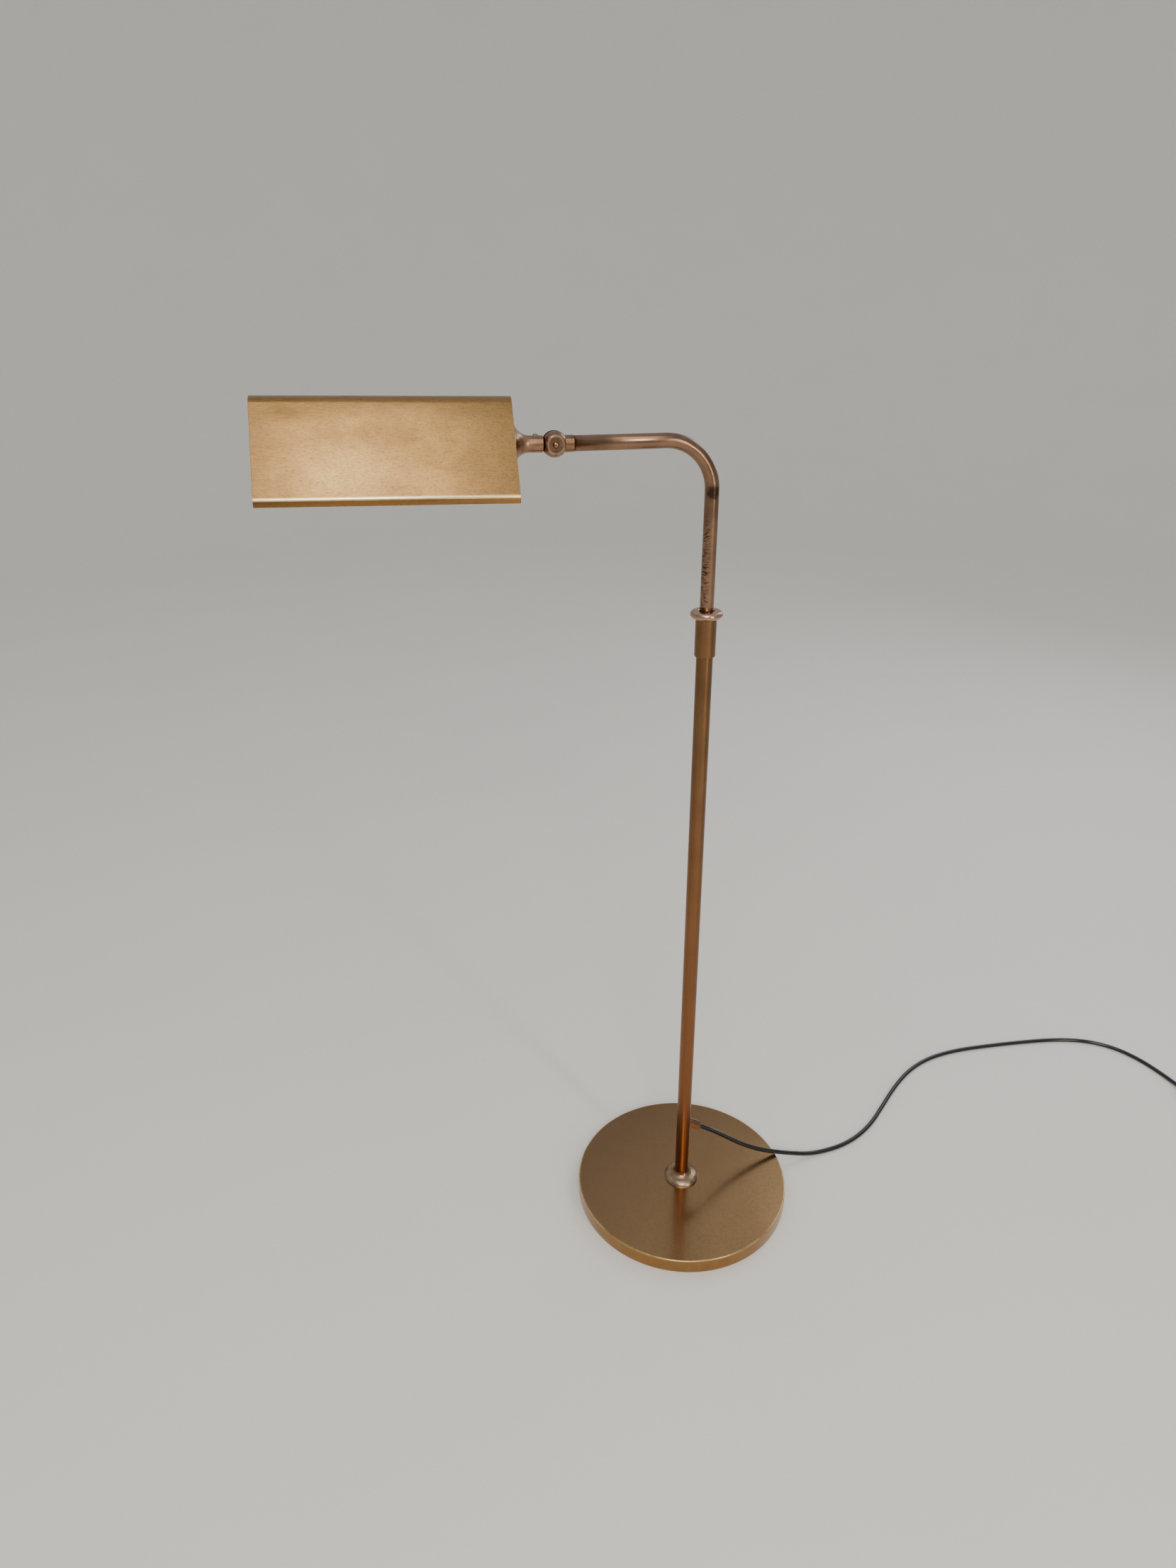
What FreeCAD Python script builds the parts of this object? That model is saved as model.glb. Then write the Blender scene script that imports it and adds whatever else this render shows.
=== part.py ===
import FreeCAD, Part
import math
import os
import re
import Sketcher

# A brass pharmacy floor lamp. The column stands on the origin, +Z is up and the arm points along -X.
# A weighted disc base carries a fixed outer tube; a bent inner tube slides and turns in it under a
# lock ring; a ball knuckle and a swivelling trumpet neck carry the tent-shaped shade.
# The cord leaves a gland low on the column and lies on the floor.

doc = FreeCAD.newDocument("pharmacy_floor_lamp")
sheet = doc.addObject("Spreadsheet::Sheet", "dims")

SIZES = [
    ("base_dia", 249.0, "base disc across"),
    ("base_high", 17.5, "base disc height"),
    ("base_edge", 1.0, "round on the top edge of the base cover"),
    ("base_wall", 1.5, "spun brass cover of the base"),
    ("pad_thick", 2.5, "felt pad under the base"),
    ("pad_proud", 0.5, "pad below the rim of the cover"),
    ("base_gap", 0.3, "weight to cover, all round"),
    ("nut_hollow_dia", 36.0, "hollow for the nut under the weight"),
    ("nut_hollow_high", 8.0, "height of that hollow"),
    ("stay_dia", 10.0, "threaded tube that ties the column to the base"),
    ("stay_bore", 7.0, "its bore"),
    ("stay_reach", 16.0, "how far it screws up into the column"),
    ("stay_gap", 0.3, "hole clearance round the threaded tube, on the radius"),
    ("stay_nut_flats", 17.0, "hexagon nut across flats"),
    ("stay_nut_high", 5.0, "hexagon nut height"),
    ("washer_dia", 30.0, "steel washer under the weight"),
    ("washer_thick", 2.0, "its thickness"),
    ("foot_dia", 40.0, "turned foot collar across"),
    ("foot_high", 10.6, "foot collar height over its ring"),
    ("foot_ring_thick", 1.2, "thin ring under the foot collar"),
    ("outer_dia", 16.0, "outer column tube"),
    ("outer_wall", 1.0, "its wall"),
    ("outer_top", 692.0, "height of the outer tube's top end"),
    ("plug_long", 20.0, "turned plug in the foot of the outer tube"),
    ("slip", 0.05, "sliding and turning fits, on the radius"),
    ("gland_high", 105.0, "where the gland's axis meets the column's"),
    ("gland_droop", 32.0, "gland below level, degrees"),
    ("gland_reach", 22.5, "column axis to the end of the gland"),
    ("gland_flats", 10.0, "gland across flats"),
    ("gland_thread", 7.6, "gland thread through the tube wall"),
    ("gland_mouth", 8.2, "counterbore for the rubber bush"),
    ("gland_mouth_deep", 6.0, "its depth"),
    ("sleeve_dia", 20.0, "clamp sleeve across"),
    ("sleeve_foot", 678.0, "height of the sleeve's lower end"),
    ("sleeve_guide", 8.0, "guide land over the end of the outer tube"),
    ("guide_gap", 0.1, "inner tube in the guide land, on the radius"),
    ("stub_dia", 17.0, "threaded stub on the sleeve"),
    ("stub_long", 3.8, "its length"),
    ("collet_dia", 15.2, "split collet across"),
    ("collet_slit", 1.2, "slit of the collet"),
    ("ring_dia", 30.5, "lock ring across"),
    ("ring_high", 7.0, "lock ring height"),
    ("ring_foot", 714.8, "height of the lock ring's underside"),
    ("ring_eye", 14.6, "hole in the lock ring"),
    ("inner_dia", 13.0, "inner tube"),
    ("inner_wall", 1.0, "its wall"),
    ("inner_foot", 230.0, "height of the inner tube's lower end"),
    ("arm_high", 873.0, "height of the arm's axis"),
    ("bend_radius", 43.0, "bend of the inner tube, to its axis"),
    ("arm_end", 124.0, "column axis to the end of the arm's tube"),
    ("guide_long", 8.0, "guide bush flange"),
    ("guide_spigot", 10.0, "guide bush spigot inside the tube"),
    ("lead_dia", 5.0, "lead inside the tubes"),
    ("pivot_out", 140.0, "column axis to the knuckle's pivot"),
    ("ball_dia", 22.2, "knuckle ball"),
    ("ball_flats", 17.0, "across the two flats of the ball"),
    ("fork_slot", 5.3, "slot of the fork"),
    ("fork_deep", 6.7, "pivot to the bottom of the slot"),
    ("collar_dia", 14.0, "collar between the ball and the arm"),
    ("spigot_long", 12.0, "fork spigot inside the arm"),
    ("tongue_thick", 5.0, "tongue of the neck"),
    ("tongue_radius", 6.2, "round end of the tongue"),
    ("pin_dia", 4.0, "pivot pin"),
    ("pivot_washer_dia", 8.5, "washer behind the ball"),
    ("pivot_washer_thick", 1.0, "its thickness"),
    ("hub_dia", 8.4, "clamp nut behind the ball"),
    ("hub_long", 8.8, "its length"),
    ("bar_dia", 3.2, "cross bar of the clamp nut"),
    ("bar_long", 34.0, "its length"),
    ("bar_lean", 21.0, "cross bar above level, degrees"),
    ("head_lift", 1.3, "shade above level at its free end, degrees"),
    ("stem_dia", 13.8, "stem of the neck"),
    ("stem_cup", 12.4, "cupped end of the stem, radius about the pivot"),
    ("stem_end", 18.8, "pivot to the shoulder of the stem"),
    ("stud_dia", 8.0, "stud the trumpet turns on"),
    ("stud_bore", 3.8, "its bore"),
    ("swivel_gap", 0.1, "end play of the swivel"),
    ("trumpet_land", 2.1, "straight part of the trumpet"),
    ("trumpet_curve", 14.1, "radius of its flare"),
    ("trumpet_dia", 33.0, "trumpet rim across"),
    ("trumpet_floor", 5.2, "length of the trumpet's bore"),
    ("trumpet_cavity", 14.4, "hollow of the trumpet"),
    ("swivel_washer", 0.8, "fibre washer of the swivel"),
    ("swivel_nut", 2.5, "nut of the swivel"),
    ("shade_from", 36.5, "pivot to the shade's end cap"),
    ("shade_long", 205.5, "shade length"),
    ("shade_half", 56.4, "shade axis to its front and back edge"),
    ("shade_top", 37.6, "shade axis to the ridge"),
    ("shade_drop", 38.7, "shade axis to the lower edges"),
    ("shade_wall", 1.0, "shade sheet"),
    ("shade_lean", 35.5, "side panels from upright, degrees"),
    ("ridge_radius", 12.0, "round ridge of the shade"),
    ("fold_radius", 3.0, "bend above the lip"),
    ("cap_thick", 1.2, "end caps"),
    ("cap_gap", 0.05, "end cap to shade, all round"),
    ("cap_hole", 11.0, "lead hole in the right end cap"),
    ("screw_apart", 24.0, "bracket screws apart"),
    ("screw_dia", 3.0, "bracket screw thread"),
    ("screw_deep", 2.8, "thread in the trumpet"),
    ("thread_gap", 0.02, "threads, on the radius"),
    ("bracket_wide", 16.0, "lampholder bracket width"),
    ("bracket_thick", 1.5, "its thickness"),
    ("bracket_rise", 9.3, "its height"),
    ("bracket_top", 18.0, "its raised top"),
    ("holder_dia", 25.0, "lampholder across"),
    ("holder_long", 31.0, "lampholder length"),
    ("holder_base", 3.0, "lampholder floor"),
    ("holder_bore", 14.4, "lampholder bore"),
    ("holder_nut_flats", 14.0, "nut under the bracket, across flats"),
    ("holder_nut_high", 3.0, "its height"),
    ("bulb_cap_dia", 13.6, "lamp cap"),
    ("bulb_cap_long", 24.0, "its length"),
    ("bulb_dia", 25.0, "tubular bulb"),
    ("bulb_long", 88.0, "its glass"),
    ("contact_high", 4.0, "spring contact in the lampholder"),
    ("head_lead_dia", 3.0, "leads in the neck"),
    ("cord_dia", 5.4, "mains cord"),
    ("coil_radius", 34.0, "middle of the put-away coil"),
    ("switch_long", 72.0, "cord switch length"),
    ("switch_wide", 26.0, "its width"),
    ("switch_split", 8.0, "height of its lower shell and of the cord's axis in it"),
    ("switch_high", 15.5, "its whole height"),
    ("switch_wall", 1.8, "its walls"),
    ("rocker_long", 17.0, "rocker length"),
    ("rocker_wide", 9.0, "rocker width"),
    ("rocker_gap", 0.35, "rocker in its window, all round"),
    ("rocker_pin", 2.0, "rocker pin"),
    ("plug_wide", 35.0, "mains plug width"),
    ("plug_thick", 13.6, "its thickness"),
    ("plug_body", 34.0, "its body length"),
    ("plug_boot", 24.0, "its strain relief"),
    ("plug_pin_dia", 4.0, "contact pin"),
    ("plug_pin_long", 19.0, "contact pin length"),
    ("plug_pin_apart", 18.2, "contact pins apart"),
]
for row, (alias, size, note) in enumerate(SIZES, start=1):
    sheet.set(f"A{row}", note)
    sheet.set(f"B{row}", str(size))
    sheet.setAlias(f"B{row}", alias)
doc.recompute()
ALIASES = {alias for alias, size, note in SIZES}


def named(formula):
    """A formula in the sheet's own words, with the sheet named before each of them."""
    return re.sub(r"[a-z][a-z_0-9]*", lambda w: "dims." + w[0] if w[0] in ALIASES else w[0], str(formula))


def size(formula):
    """What a formula comes to now, in mm."""
    return float(sheet.evalExpression(named(formula)))


def bind(thing, **formulas):
    """Ties properties to the sheet; two underscores stand for a dot."""
    for prop, formula in formulas.items():
        thing.setExpression(prop.replace("__", "."), named(formula))
    return thing


def sketch(body, plane, *outlines, lift="0"):
    """A sketch on one of the body's own planes. An outline is a list of corners (x, y) or, where the
    edge that starts there is an arc, (x, y, radius, side): side 1 turns left and -1 turns right.
    One tuple (x, y, radius) alone is a circle."""
    made = body.newObject("Sketcher::SketchObject", body.Name + "_sketch")
    made.AttachmentSupport = [(next(o for o in body.Origin.OriginFeatures if o.Role == plane), "")]
    made.MapMode = "FlatFace"
    bind(made, AttachmentOffset__Base__z=lift)

    def hold(kind, *where, formula):
        index = made.addConstraint(Sketcher.Constraint(kind, *where, size(formula)))
        made.setExpression(f"Constraints[{index}]", named(formula))

    for outline in outlines:
        if isinstance(outline, tuple):
            x, y, radius = outline
            centre = FreeCAD.Vector(size(x), size(y), 0)
            ring = made.addGeometry(Part.Circle(centre, FreeCAD.Vector(0, 0, 1), size(radius)), False)
            hold("DistanceX", -1, 1, ring, 3, formula=x)
            hold("DistanceY", -1, 1, ring, 3, formula=y)
            hold("Radius", ring, formula=radius)
            continue
        points = [FreeCAD.Vector(size(corner[0]), size(corner[1]), 0) for corner in outline]
        ends = []
        for corner, start, end in zip(outline, points, points[1:] + points[:1]):
            if len(corner) == 2:
                ends.append((made.addGeometry(Part.LineSegment(start, end), False), 1, 2))
                continue
            radius, side = size(corner[2]), corner[3]
            chord = end - start
            across = FreeCAD.Vector(-chord.y, chord.x, 0).normalize() * side
            centre = (start + end) / 2 + across * math.sqrt(radius**2 - (chord.Length / 2) ** 2)
            turn = [math.atan2(p.y - centre.y, p.x - centre.x) for p in ((start, end) if side > 0 else (end, start))]
            circle = Part.Circle(centre, FreeCAD.Vector(0, 0, 1), radius)
            arc = made.addGeometry(Part.ArcOfCircle(circle, turn[0], turn[1]), False)
            ends.append((arc, 1, 2) if side > 0 else (arc, 2, 1))
            hold("Radius", arc, formula=corner[2])
        for corner, edge, last in zip(outline, ends, ends[-1:] + ends[:-1]):
            made.addConstraint(Sketcher.Constraint("Coincident", last[0], last[2], edge[0], edge[1]))
            hold("DistanceX", -1, 1, edge[0], edge[1], formula=corner[0])
            hold("DistanceY", -1, 1, edge[0], edge[1], formula=corner[1])
    return made


def turned(name, *outlines):
    """A body turned about its Z axis from half sections (radius, height)."""
    body = doc.addObject("PartDesign::Body", name)
    turn = body.newObject("PartDesign::Revolution", name + "_turn")
    turn.Profile = sketch(body, "XZ_Plane", *outlines)
    turn.ReferenceAxis = (turn.Profile[0], ["V_Axis"])
    turn.Angle = 360
    return body


def padded(name, plane, height, *outlines, lift="0", middle=False):
    """A body padded from outlines on one of its planes."""
    body = doc.addObject("PartDesign::Body", name)
    pad = body.newObject("PartDesign::Pad", name + "_pad")
    pad.Profile = sketch(body, plane, *outlines, lift=lift)
    pad.Midplane = middle
    bind(pad, Length=height)
    return body


def rod(name, radius, length, foot="0", axis="z", x="0", y="0"):
    """A cylinder along Z from a height, or along X or Y from the middle of its length."""
    made = bind(doc.addObject("Part::Cylinder", name), Radius=radius, Height=length)
    turns = {"z": FreeCAD.Rotation(), "x": FreeCAD.Rotation(FreeCAD.Vector(0, 1, 0), 90),
             "y": FreeCAD.Rotation(FreeCAD.Vector(1, 0, 0), -90)}
    made.Placement.Rotation = turns[axis]
    start = {"x": x, "y": y, "z": foot}
    if axis != "z":
        start[axis] = f"{start[axis]} - ({length}) / 2"
    return bind(made, Placement__Base__x=start["x"], Placement__Base__y=start["y"],
                Placement__Base__z=start["z"])


def block(name, wide, deep, high, foot="0", x="0", y="0"):
    """A box centred on x and y, from a height upwards."""
    made = bind(doc.addObject("Part::Box", name), Length=wide, Width=deep, Height=high)
    return bind(made, Placement__Base__x=f"{x} - ({wide}) / 2", Placement__Base__y=f"{y} - ({deep}) / 2",
                Placement__Base__z=foot)


def joined(name, *shapes):
    made = doc.addObject("Part::MultiFuse", name)
    made.Shapes = list(shapes)
    return made


def cut(name, base, *tools):
    made = doc.addObject("Part::Cut", name)
    made.Base = base
    made.Tool = tools[0] if len(tools) == 1 else joined(name + "_tools", *tools)
    return made


def hexagon(flats):
    """The corners of a hexagon of this size across its flats."""
    corner = f"({flats}) / sqrt(3)"
    return [(f"{corner} * cos({60 * k})", f"{corner} * sin({60 * k})") for k in range(6)]


NODES = []


def node(label, thing, frame=None):
    """Names a finished sub-part and puts it in its place."""
    thing.Label = label
    if frame is not None:
        thing.Placement = frame
    NODES.append(thing)
    return thing


# Frames of the tilted pieces. Along the arm and the head: x is the front, y is up and z runs
# from the pivot towards the free end of the shade.
def along(lift, start=FreeCAD.Vector(-size("pivot_out"), 0, size("arm_high"))):
    tilt = math.radians(lift)
    front = FreeCAD.Vector(0, -1, 0)
    up = FreeCAD.Vector(math.sin(tilt), 0, math.cos(tilt))
    out = FreeCAD.Vector(-math.cos(tilt), 0, math.sin(tilt))
    return FreeCAD.Placement(start, FreeCAD.Rotation(front, up, out, "ZXY"))


ARM = along(0)
HEAD = along(size("head_lift"))
droop = math.radians(size("gland_droop"))
GLAND_WAY = FreeCAD.Vector(math.cos(droop), 0, -math.sin(droop))
GLAND = FreeCAD.Placement(FreeCAD.Vector(0, 0, size("gland_high")),
                          FreeCAD.Rotation(FreeCAD.Vector(0, 0, 1), GLAND_WAY))

# Base: a spun brass cover over a cast iron disc on a felt pad
stay_hole = "stay_dia / 2 + stay_gap"
weight_radius = "base_dia / 2 - base_wall - base_gap"
weight_top = "base_high - base_wall"
hollow_top = "pad_thick + nut_hollow_high"
node("base_cover", turned("cover", [
    ("base_dia / 2 - base_wall", "pad_proud"),
    ("base_dia / 2", "pad_proud"),
    ("base_dia / 2", "base_high - base_edge", "base_edge", 1),
    ("base_dia / 2 - base_edge", "base_high"),
    (stay_hole, "base_high"),
    (stay_hole, weight_top),
    ("base_dia / 2 - base_wall", weight_top),
]))
node("base_weight", turned("weight", [
    ("nut_hollow_dia / 2", "pad_thick"),
    (weight_radius, "pad_thick"),
    (weight_radius, weight_top),
    (stay_hole, weight_top),
    (stay_hole, hollow_top),
    ("nut_hollow_dia / 2", hollow_top),
]))
node("base_pad", rod("pad", weight_radius, "pad_thick"))
washer_foot = f"{hollow_top} - washer_thick"
node("base_washer", cut("washer", rod("washer_disc", "washer_dia / 2", "washer_thick", washer_foot),
                        rod("washer_hole", stay_hole, "washer_thick", washer_foot)))
nut_foot = f"{washer_foot} - stay_nut_high"
node("base_nut", padded("nut", "XY_Plane", "stay_nut_high", hexagon("stay_nut_flats"),
                        ("0", "0", "stay_dia / 2 + thread_gap"), lift=nut_foot))
stay_foot = "pad_thick + 0.5"
node("base_stay", padded("stay", "XY_Plane", f"base_high + stay_reach - ({stay_foot})",
                         ("0", "0", "stay_dia / 2"), ("0", "0", "stay_bore / 2"), lift=stay_foot))

# Foot: a thin ring and a bell-shaped collar where the column meets the base
tube_hole = "outer_dia / 2 + slip"
collar_foot = "base_high + foot_ring_thick"
node("foot_ring", turned("ring_under_foot", [
    (tube_hole, "base_high"),
    ("foot_dia / 2 + 0.4", "base_high"),
    ("foot_dia / 2 + 0.4", f"{collar_foot} - 0.4", "0.4", 1),
    ("foot_dia / 2", collar_foot),
    (tube_hole, collar_foot),
]))
node("foot_collar", turned("foot", [
    (tube_hole, collar_foot),
    ("foot_dia / 2", collar_foot),
    ("foot_dia / 2", f"{collar_foot} + 0.8", "foot_dia * 0.19", 1),
    ("foot_dia * 0.355", f"{collar_foot} + foot_high * 0.46", "foot_high * 0.66", -1),
    ("outer_dia / 2 + 0.3", f"{collar_foot} + foot_high"),
    (tube_hole, f"{collar_foot} + foot_high"),
]))

# Column: the fixed outer tube, its foot plug and the cord gland in its side
outer_bore = "outer_dia / 2 - outer_wall"
outer_long = "outer_top - base_high"
gland_hole = padded("gland_hole", "XY_Plane", "outer_dia", ("0", "0", "gland_thread / 2 + slip"))
gland_hole.Placement = GLAND
column = joined("column_tools", rod("column_bore", outer_bore, outer_long, "base_high"), gland_hole)
node("outer_tube", cut("column", rod("column_rod", "outer_dia / 2", outer_long, "base_high"), column))
node("column_plug", padded("foot_plug", "XY_Plane", "plug_long", ("0", "0", f"{outer_bore} - slip"),
                           ("0", "0", "stay_dia / 2 + thread_gap"), lift="base_high"))
gland_hex = padded("gland_hex", "XY_Plane", "gland_reach - 1", hexagon("gland_flats"))
gland_end = turned("gland_end", [
    ("0", "gland_reach - 1"),
    ("gland_flats / 2", "gland_reach - 1"),
    ("gland_flats / 2 - 0.8", "gland_reach"),
    ("0", "gland_reach"),
])
gland_lump = joined("gland_lump", gland_hex, gland_end)
gland_lump.Placement = GLAND
gland_thread = padded("gland_thread_rod", "XY_Plane", "outer_dia / 2 + 4", ("0", "0", "gland_thread / 2"))
gland_thread.Placement = GLAND
gland_bores = joined("gland_bores", rod("gland_cord_bore", "cord_dia / 2 + 0.1", "gland_reach"),
                     rod("gland_mouth_bore", "gland_mouth / 2", "gland_mouth_deep",
                         "gland_reach - gland_mouth_deep"))
gland_bores.Placement = GLAND
outside = cut("gland_outside", gland_lump, rod("gland_seat", "outer_dia / 2", "80", "gland_high - 40"))
inside = cut("gland_inside", gland_thread, rod("gland_bore_clear", f"{outer_bore} - 1", "80", "gland_high - 40"))
node("gland_body", cut("gland", joined("gland_metal", outside, inside), gland_bores))
node("gland_bush", padded("bush", "XY_Plane", "gland_mouth_deep", ("0", "0", "gland_mouth / 2 - slip"),
                          ("0", "0", "cord_dia / 2 + slip"), lift="gland_reach - gland_mouth_deep"), GLAND)

# Clamp: sleeve, split collet and lock ring at the top of the outer tube
guide_top = "outer_top + sleeve_guide"
stub_top = "ring_foot + stub_long"
guide_bore = "inner_dia / 2 + guide_gap"
sleeve_round = "(sleeve_dia - outer_dia) * 0.15"
node("clamp_sleeve", turned("sleeve", [
    (tube_hole, "sleeve_foot"),
    (f"sleeve_dia / 2 - {sleeve_round}", "sleeve_foot", sleeve_round, 1),
    ("sleeve_dia / 2", f"sleeve_foot + {sleeve_round}"),
    ("sleeve_dia / 2", "ring_foot - 0.2"),
    ("stub_dia / 2", "ring_foot - 0.2"),
    ("stub_dia / 2", stub_top),
    ("collet_dia / 2 + slip", stub_top),
    ("collet_dia / 2 + slip", guide_top),
    (guide_bore, guide_top),
    (guide_bore, "outer_top"),
    (tube_hole, "outer_top"),
]))
collet = turned("collet", [
    ("inner_dia / 2 + slip", guide_top),
    ("collet_dia / 2", guide_top),
    ("collet_dia / 2", stub_top),
    ("ring_eye / 2 - 0.2", f"{stub_top} + 0.8"),
    ("inner_dia / 2 + slip", f"{stub_top} + 0.8"),
])
node("clamp_collet", cut("split_collet", collet, block("slit", "collet_dia", "collet_slit",
                         f"{stub_top} + 1 - ({guide_top})", guide_top, x="collet_dia / 2")))
edge = "ring_high / 2"
node("lock_ring", turned("ring", [
    ("stub_dia / 2 + slip", "ring_foot"),
    (f"ring_dia / 2 - {edge}", "ring_foot", edge, 1),
    ("ring_dia / 2", f"ring_foot + {edge}", edge, 1),
    (f"ring_dia / 2 - {edge}", "ring_foot + ring_high"),
    ("ring_eye / 2 + 0.4", "ring_foot + ring_high"),
    ("ring_eye / 2", "ring_foot + ring_high - 0.4"),
    ("ring_eye / 2", f"{stub_top} + 1"),
    ("collet_dia / 2 + 0.2", f"{stub_top} + 0.2"),
    ("stub_dia / 2 + slip", f"{stub_top} + 0.2"),
]))

# Inner tube: slides and turns in the column, bends over and becomes the arm
bend_start = "arm_high - bend_radius"


def bent(name, lower, end, *radii):
    """A pipe up the column axis, round the bend and out along the arm, to x = -end."""
    body = doc.addObject("PartDesign::Body", name)
    path = body.newObject("Sketcher::SketchObject", name + "_path")
    plane = next(o for o in body.Origin.OriginFeatures if o.Role == "XZ_Plane")
    path.AttachmentSupport = [(plane, "")]
    path.MapMode = "FlatFace"
    low, start, radius, far = size(lower), size(bend_start), size("bend_radius"), size(end)
    centre = FreeCAD.Vector(-radius, start, 0)
    rise = path.addGeometry(Part.LineSegment(FreeCAD.Vector(0, low, 0), FreeCAD.Vector(0, start, 0)), False)
    arc = path.addGeometry(Part.ArcOfCircle(Part.Circle(centre, FreeCAD.Vector(0, 0, 1), radius),
                                            0, math.pi / 2), False)
    level = path.addGeometry(Part.LineSegment(FreeCAD.Vector(-radius, start + radius, 0),
                                              FreeCAD.Vector(-far, start + radius, 0)), False)
    path.addConstraint(Sketcher.Constraint("Coincident", rise, 2, arc, 1))
    path.addConstraint(Sketcher.Constraint("Coincident", arc, 2, level, 1))
    for where, x, y in (((rise, 1), "0", lower), ((rise, 2), "0", bend_start),
                        ((level, 1), "-bend_radius", "arm_high"), ((level, 2), f"-({end})", "arm_high")):
        for kind, formula in (("DistanceX", x), ("DistanceY", y)):
            index = path.addConstraint(Sketcher.Constraint(kind, -1, 1, *where, size(formula)))
            path.setExpression(f"Constraints[{index}]", named(formula))
    index = path.addConstraint(Sketcher.Constraint("Radius", arc, radius))
    path.setExpression(f"Constraints[{index}]", named("bend_radius"))
    pipe = body.newObject("PartDesign::AdditivePipe", name + "_pipe")
    pipe.Profile = sketch(body, "XY_Plane", *[("0", "0", r) for r in radii], lift=lower)
    pipe.Spine = (path, ["Edge1", "Edge2", "Edge3"])
    return body


inner_bore = "inner_dia / 2 - inner_wall"
node("inner_tube", bent("arm_pipe", "inner_foot", "arm_end", "inner_dia / 2", inner_bore))
node("inner_lead", bent("lead_pipe", "inner_foot - guide_long", "pivot_out - fork_deep", "lead_dia / 2"))
node("guide_bush", turned("guide", [
    ("lead_dia / 2 + 0.4", "inner_foot - guide_long"),
    (f"{outer_bore} - slip", "inner_foot - guide_long"),
    (f"{outer_bore} - slip", "inner_foot"),
    (f"{inner_bore} - slip", "inner_foot"),
    (f"{inner_bore} - slip", "inner_foot + guide_spigot"),
    ("lead_dia / 2 + 0.4", "inner_foot + guide_spigot"),
]))

# Knuckle: a slotted ball on the arm, a pin, and a clamp nut with a cross bar behind
collar_back = "pivot_out - arm_end"
spigot = rod("fork_spigot", f"{inner_bore} - slip", "spigot_long", f"-({collar_back}) - spigot_long")
collar = rod("fork_collar", "collar_dia / 2", f"{collar_back} - ball_dia * 0.35", f"-({collar_back})")
ball = bind(doc.addObject("Part::Sphere", "ball"), Radius="ball_dia / 2")
flats = block("ball_block", "ball_flats", "ball_dia + 1", "ball_dia + 1", "-(ball_dia + 1) / 2")
trimmed = doc.addObject("Part::Common", "trimmed_ball")
trimmed.Base = ball
trimmed.Tool = flats
pin_hole = "pin_dia / 2 + slip"
sink = turned("pin_sink", [
    ("0", "ball_flats / 2 - 0.7"),
    (pin_hole, "ball_flats / 2 - 0.7"),
    (f"{pin_hole} + 0.8", "ball_flats / 2 + 0.1"),
    ("0", "ball_flats / 2 + 0.1"),
])
sink.Placement.Rotation = FreeCAD.Rotation(FreeCAD.Vector(0, 1, 0), 90)
fork_cuts = [
    block("fork_gap", "fork_slot", "ball_dia + 2", "ball_dia", "-fork_deep"),
    rod("fork_pin_hole", pin_hole, "ball_dia", axis="x"),
    rod("fork_lead_bore", "lead_dia / 2 + 0.1", f"{collar_back} + spigot_long", f"-({collar_back}) - spigot_long"),
    sink,
]
node("knuckle_fork", cut("fork", joined("fork_metal", trimmed, collar, spigot), *fork_cuts), ARM)
pin_front = "ball_flats / 2 + 0.3"
pin_back = "ball_flats / 2 + pivot_washer_thick + 4"
pin = turned("pin", [
    ("0", f"-({pin_back})"),
    ("pin_dia / 2", f"-({pin_back})"),
    ("pin_dia / 2", pin_front, "pin_dia * 17 / 30", 1),
    ("0", f"{pin_front} + pin_dia * 0.3"),
])
quarter = FreeCAD.Placement(FreeCAD.Vector(), FreeCAD.Rotation(FreeCAD.Vector(0, 1, 0), 90))
node("pivot_pin", pin, ARM.multiply(quarter))
back = "-ball_flats / 2"
node("pivot_washer", padded("thin_washer", "XY_Plane", "pivot_washer_thick", ("0", "0", "pivot_washer_dia / 2"),
                            ("0", "0", pin_hole), lift=f"{back} - pivot_washer_thick"), ARM.multiply(quarter))
hub_front = f"{back} - pivot_washer_thick - 0.1"
bar_back = f"{hub_front} - hub_long * 0.65"
hub = rod("hub_rod", "hub_dia / 2", "hub_long", f"{hub_front} - hub_long")
hub_bore = rod("hub_bore", pin_hole, f"{pin_back} + 0.3 + ({hub_front})", f"-({pin_back}) - 0.3")
bar_hole = rod("bar_hole", "bar_dia / 2", "hub_dia + 1", bar_back, "y")
lean = FreeCAD.Placement(FreeCAD.Vector(), FreeCAD.Rotation(FreeCAD.Vector(0, 0, 1), 90 - size("bar_lean")))
LEVER = ARM.multiply(quarter).multiply(lean)
node("clamp_nut", cut("clamp_hub", hub, hub_bore, bar_hole), LEVER)
bar = rod("bar", "bar_dia / 2", "bar_long - bar_dia", bar_back, "y")
knobs = [bind(doc.addObject("Part::Sphere", f"bar_end_{k}"), Radius="bar_dia / 2",
              Placement__Base__y=f"{side} * (bar_long - bar_dia) / 2", Placement__Base__z=bar_back)
         for k, side in enumerate((-1, 1))]
node("clamp_bar", joined("cross_bar", bar, *knobs), LEVER)

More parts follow.
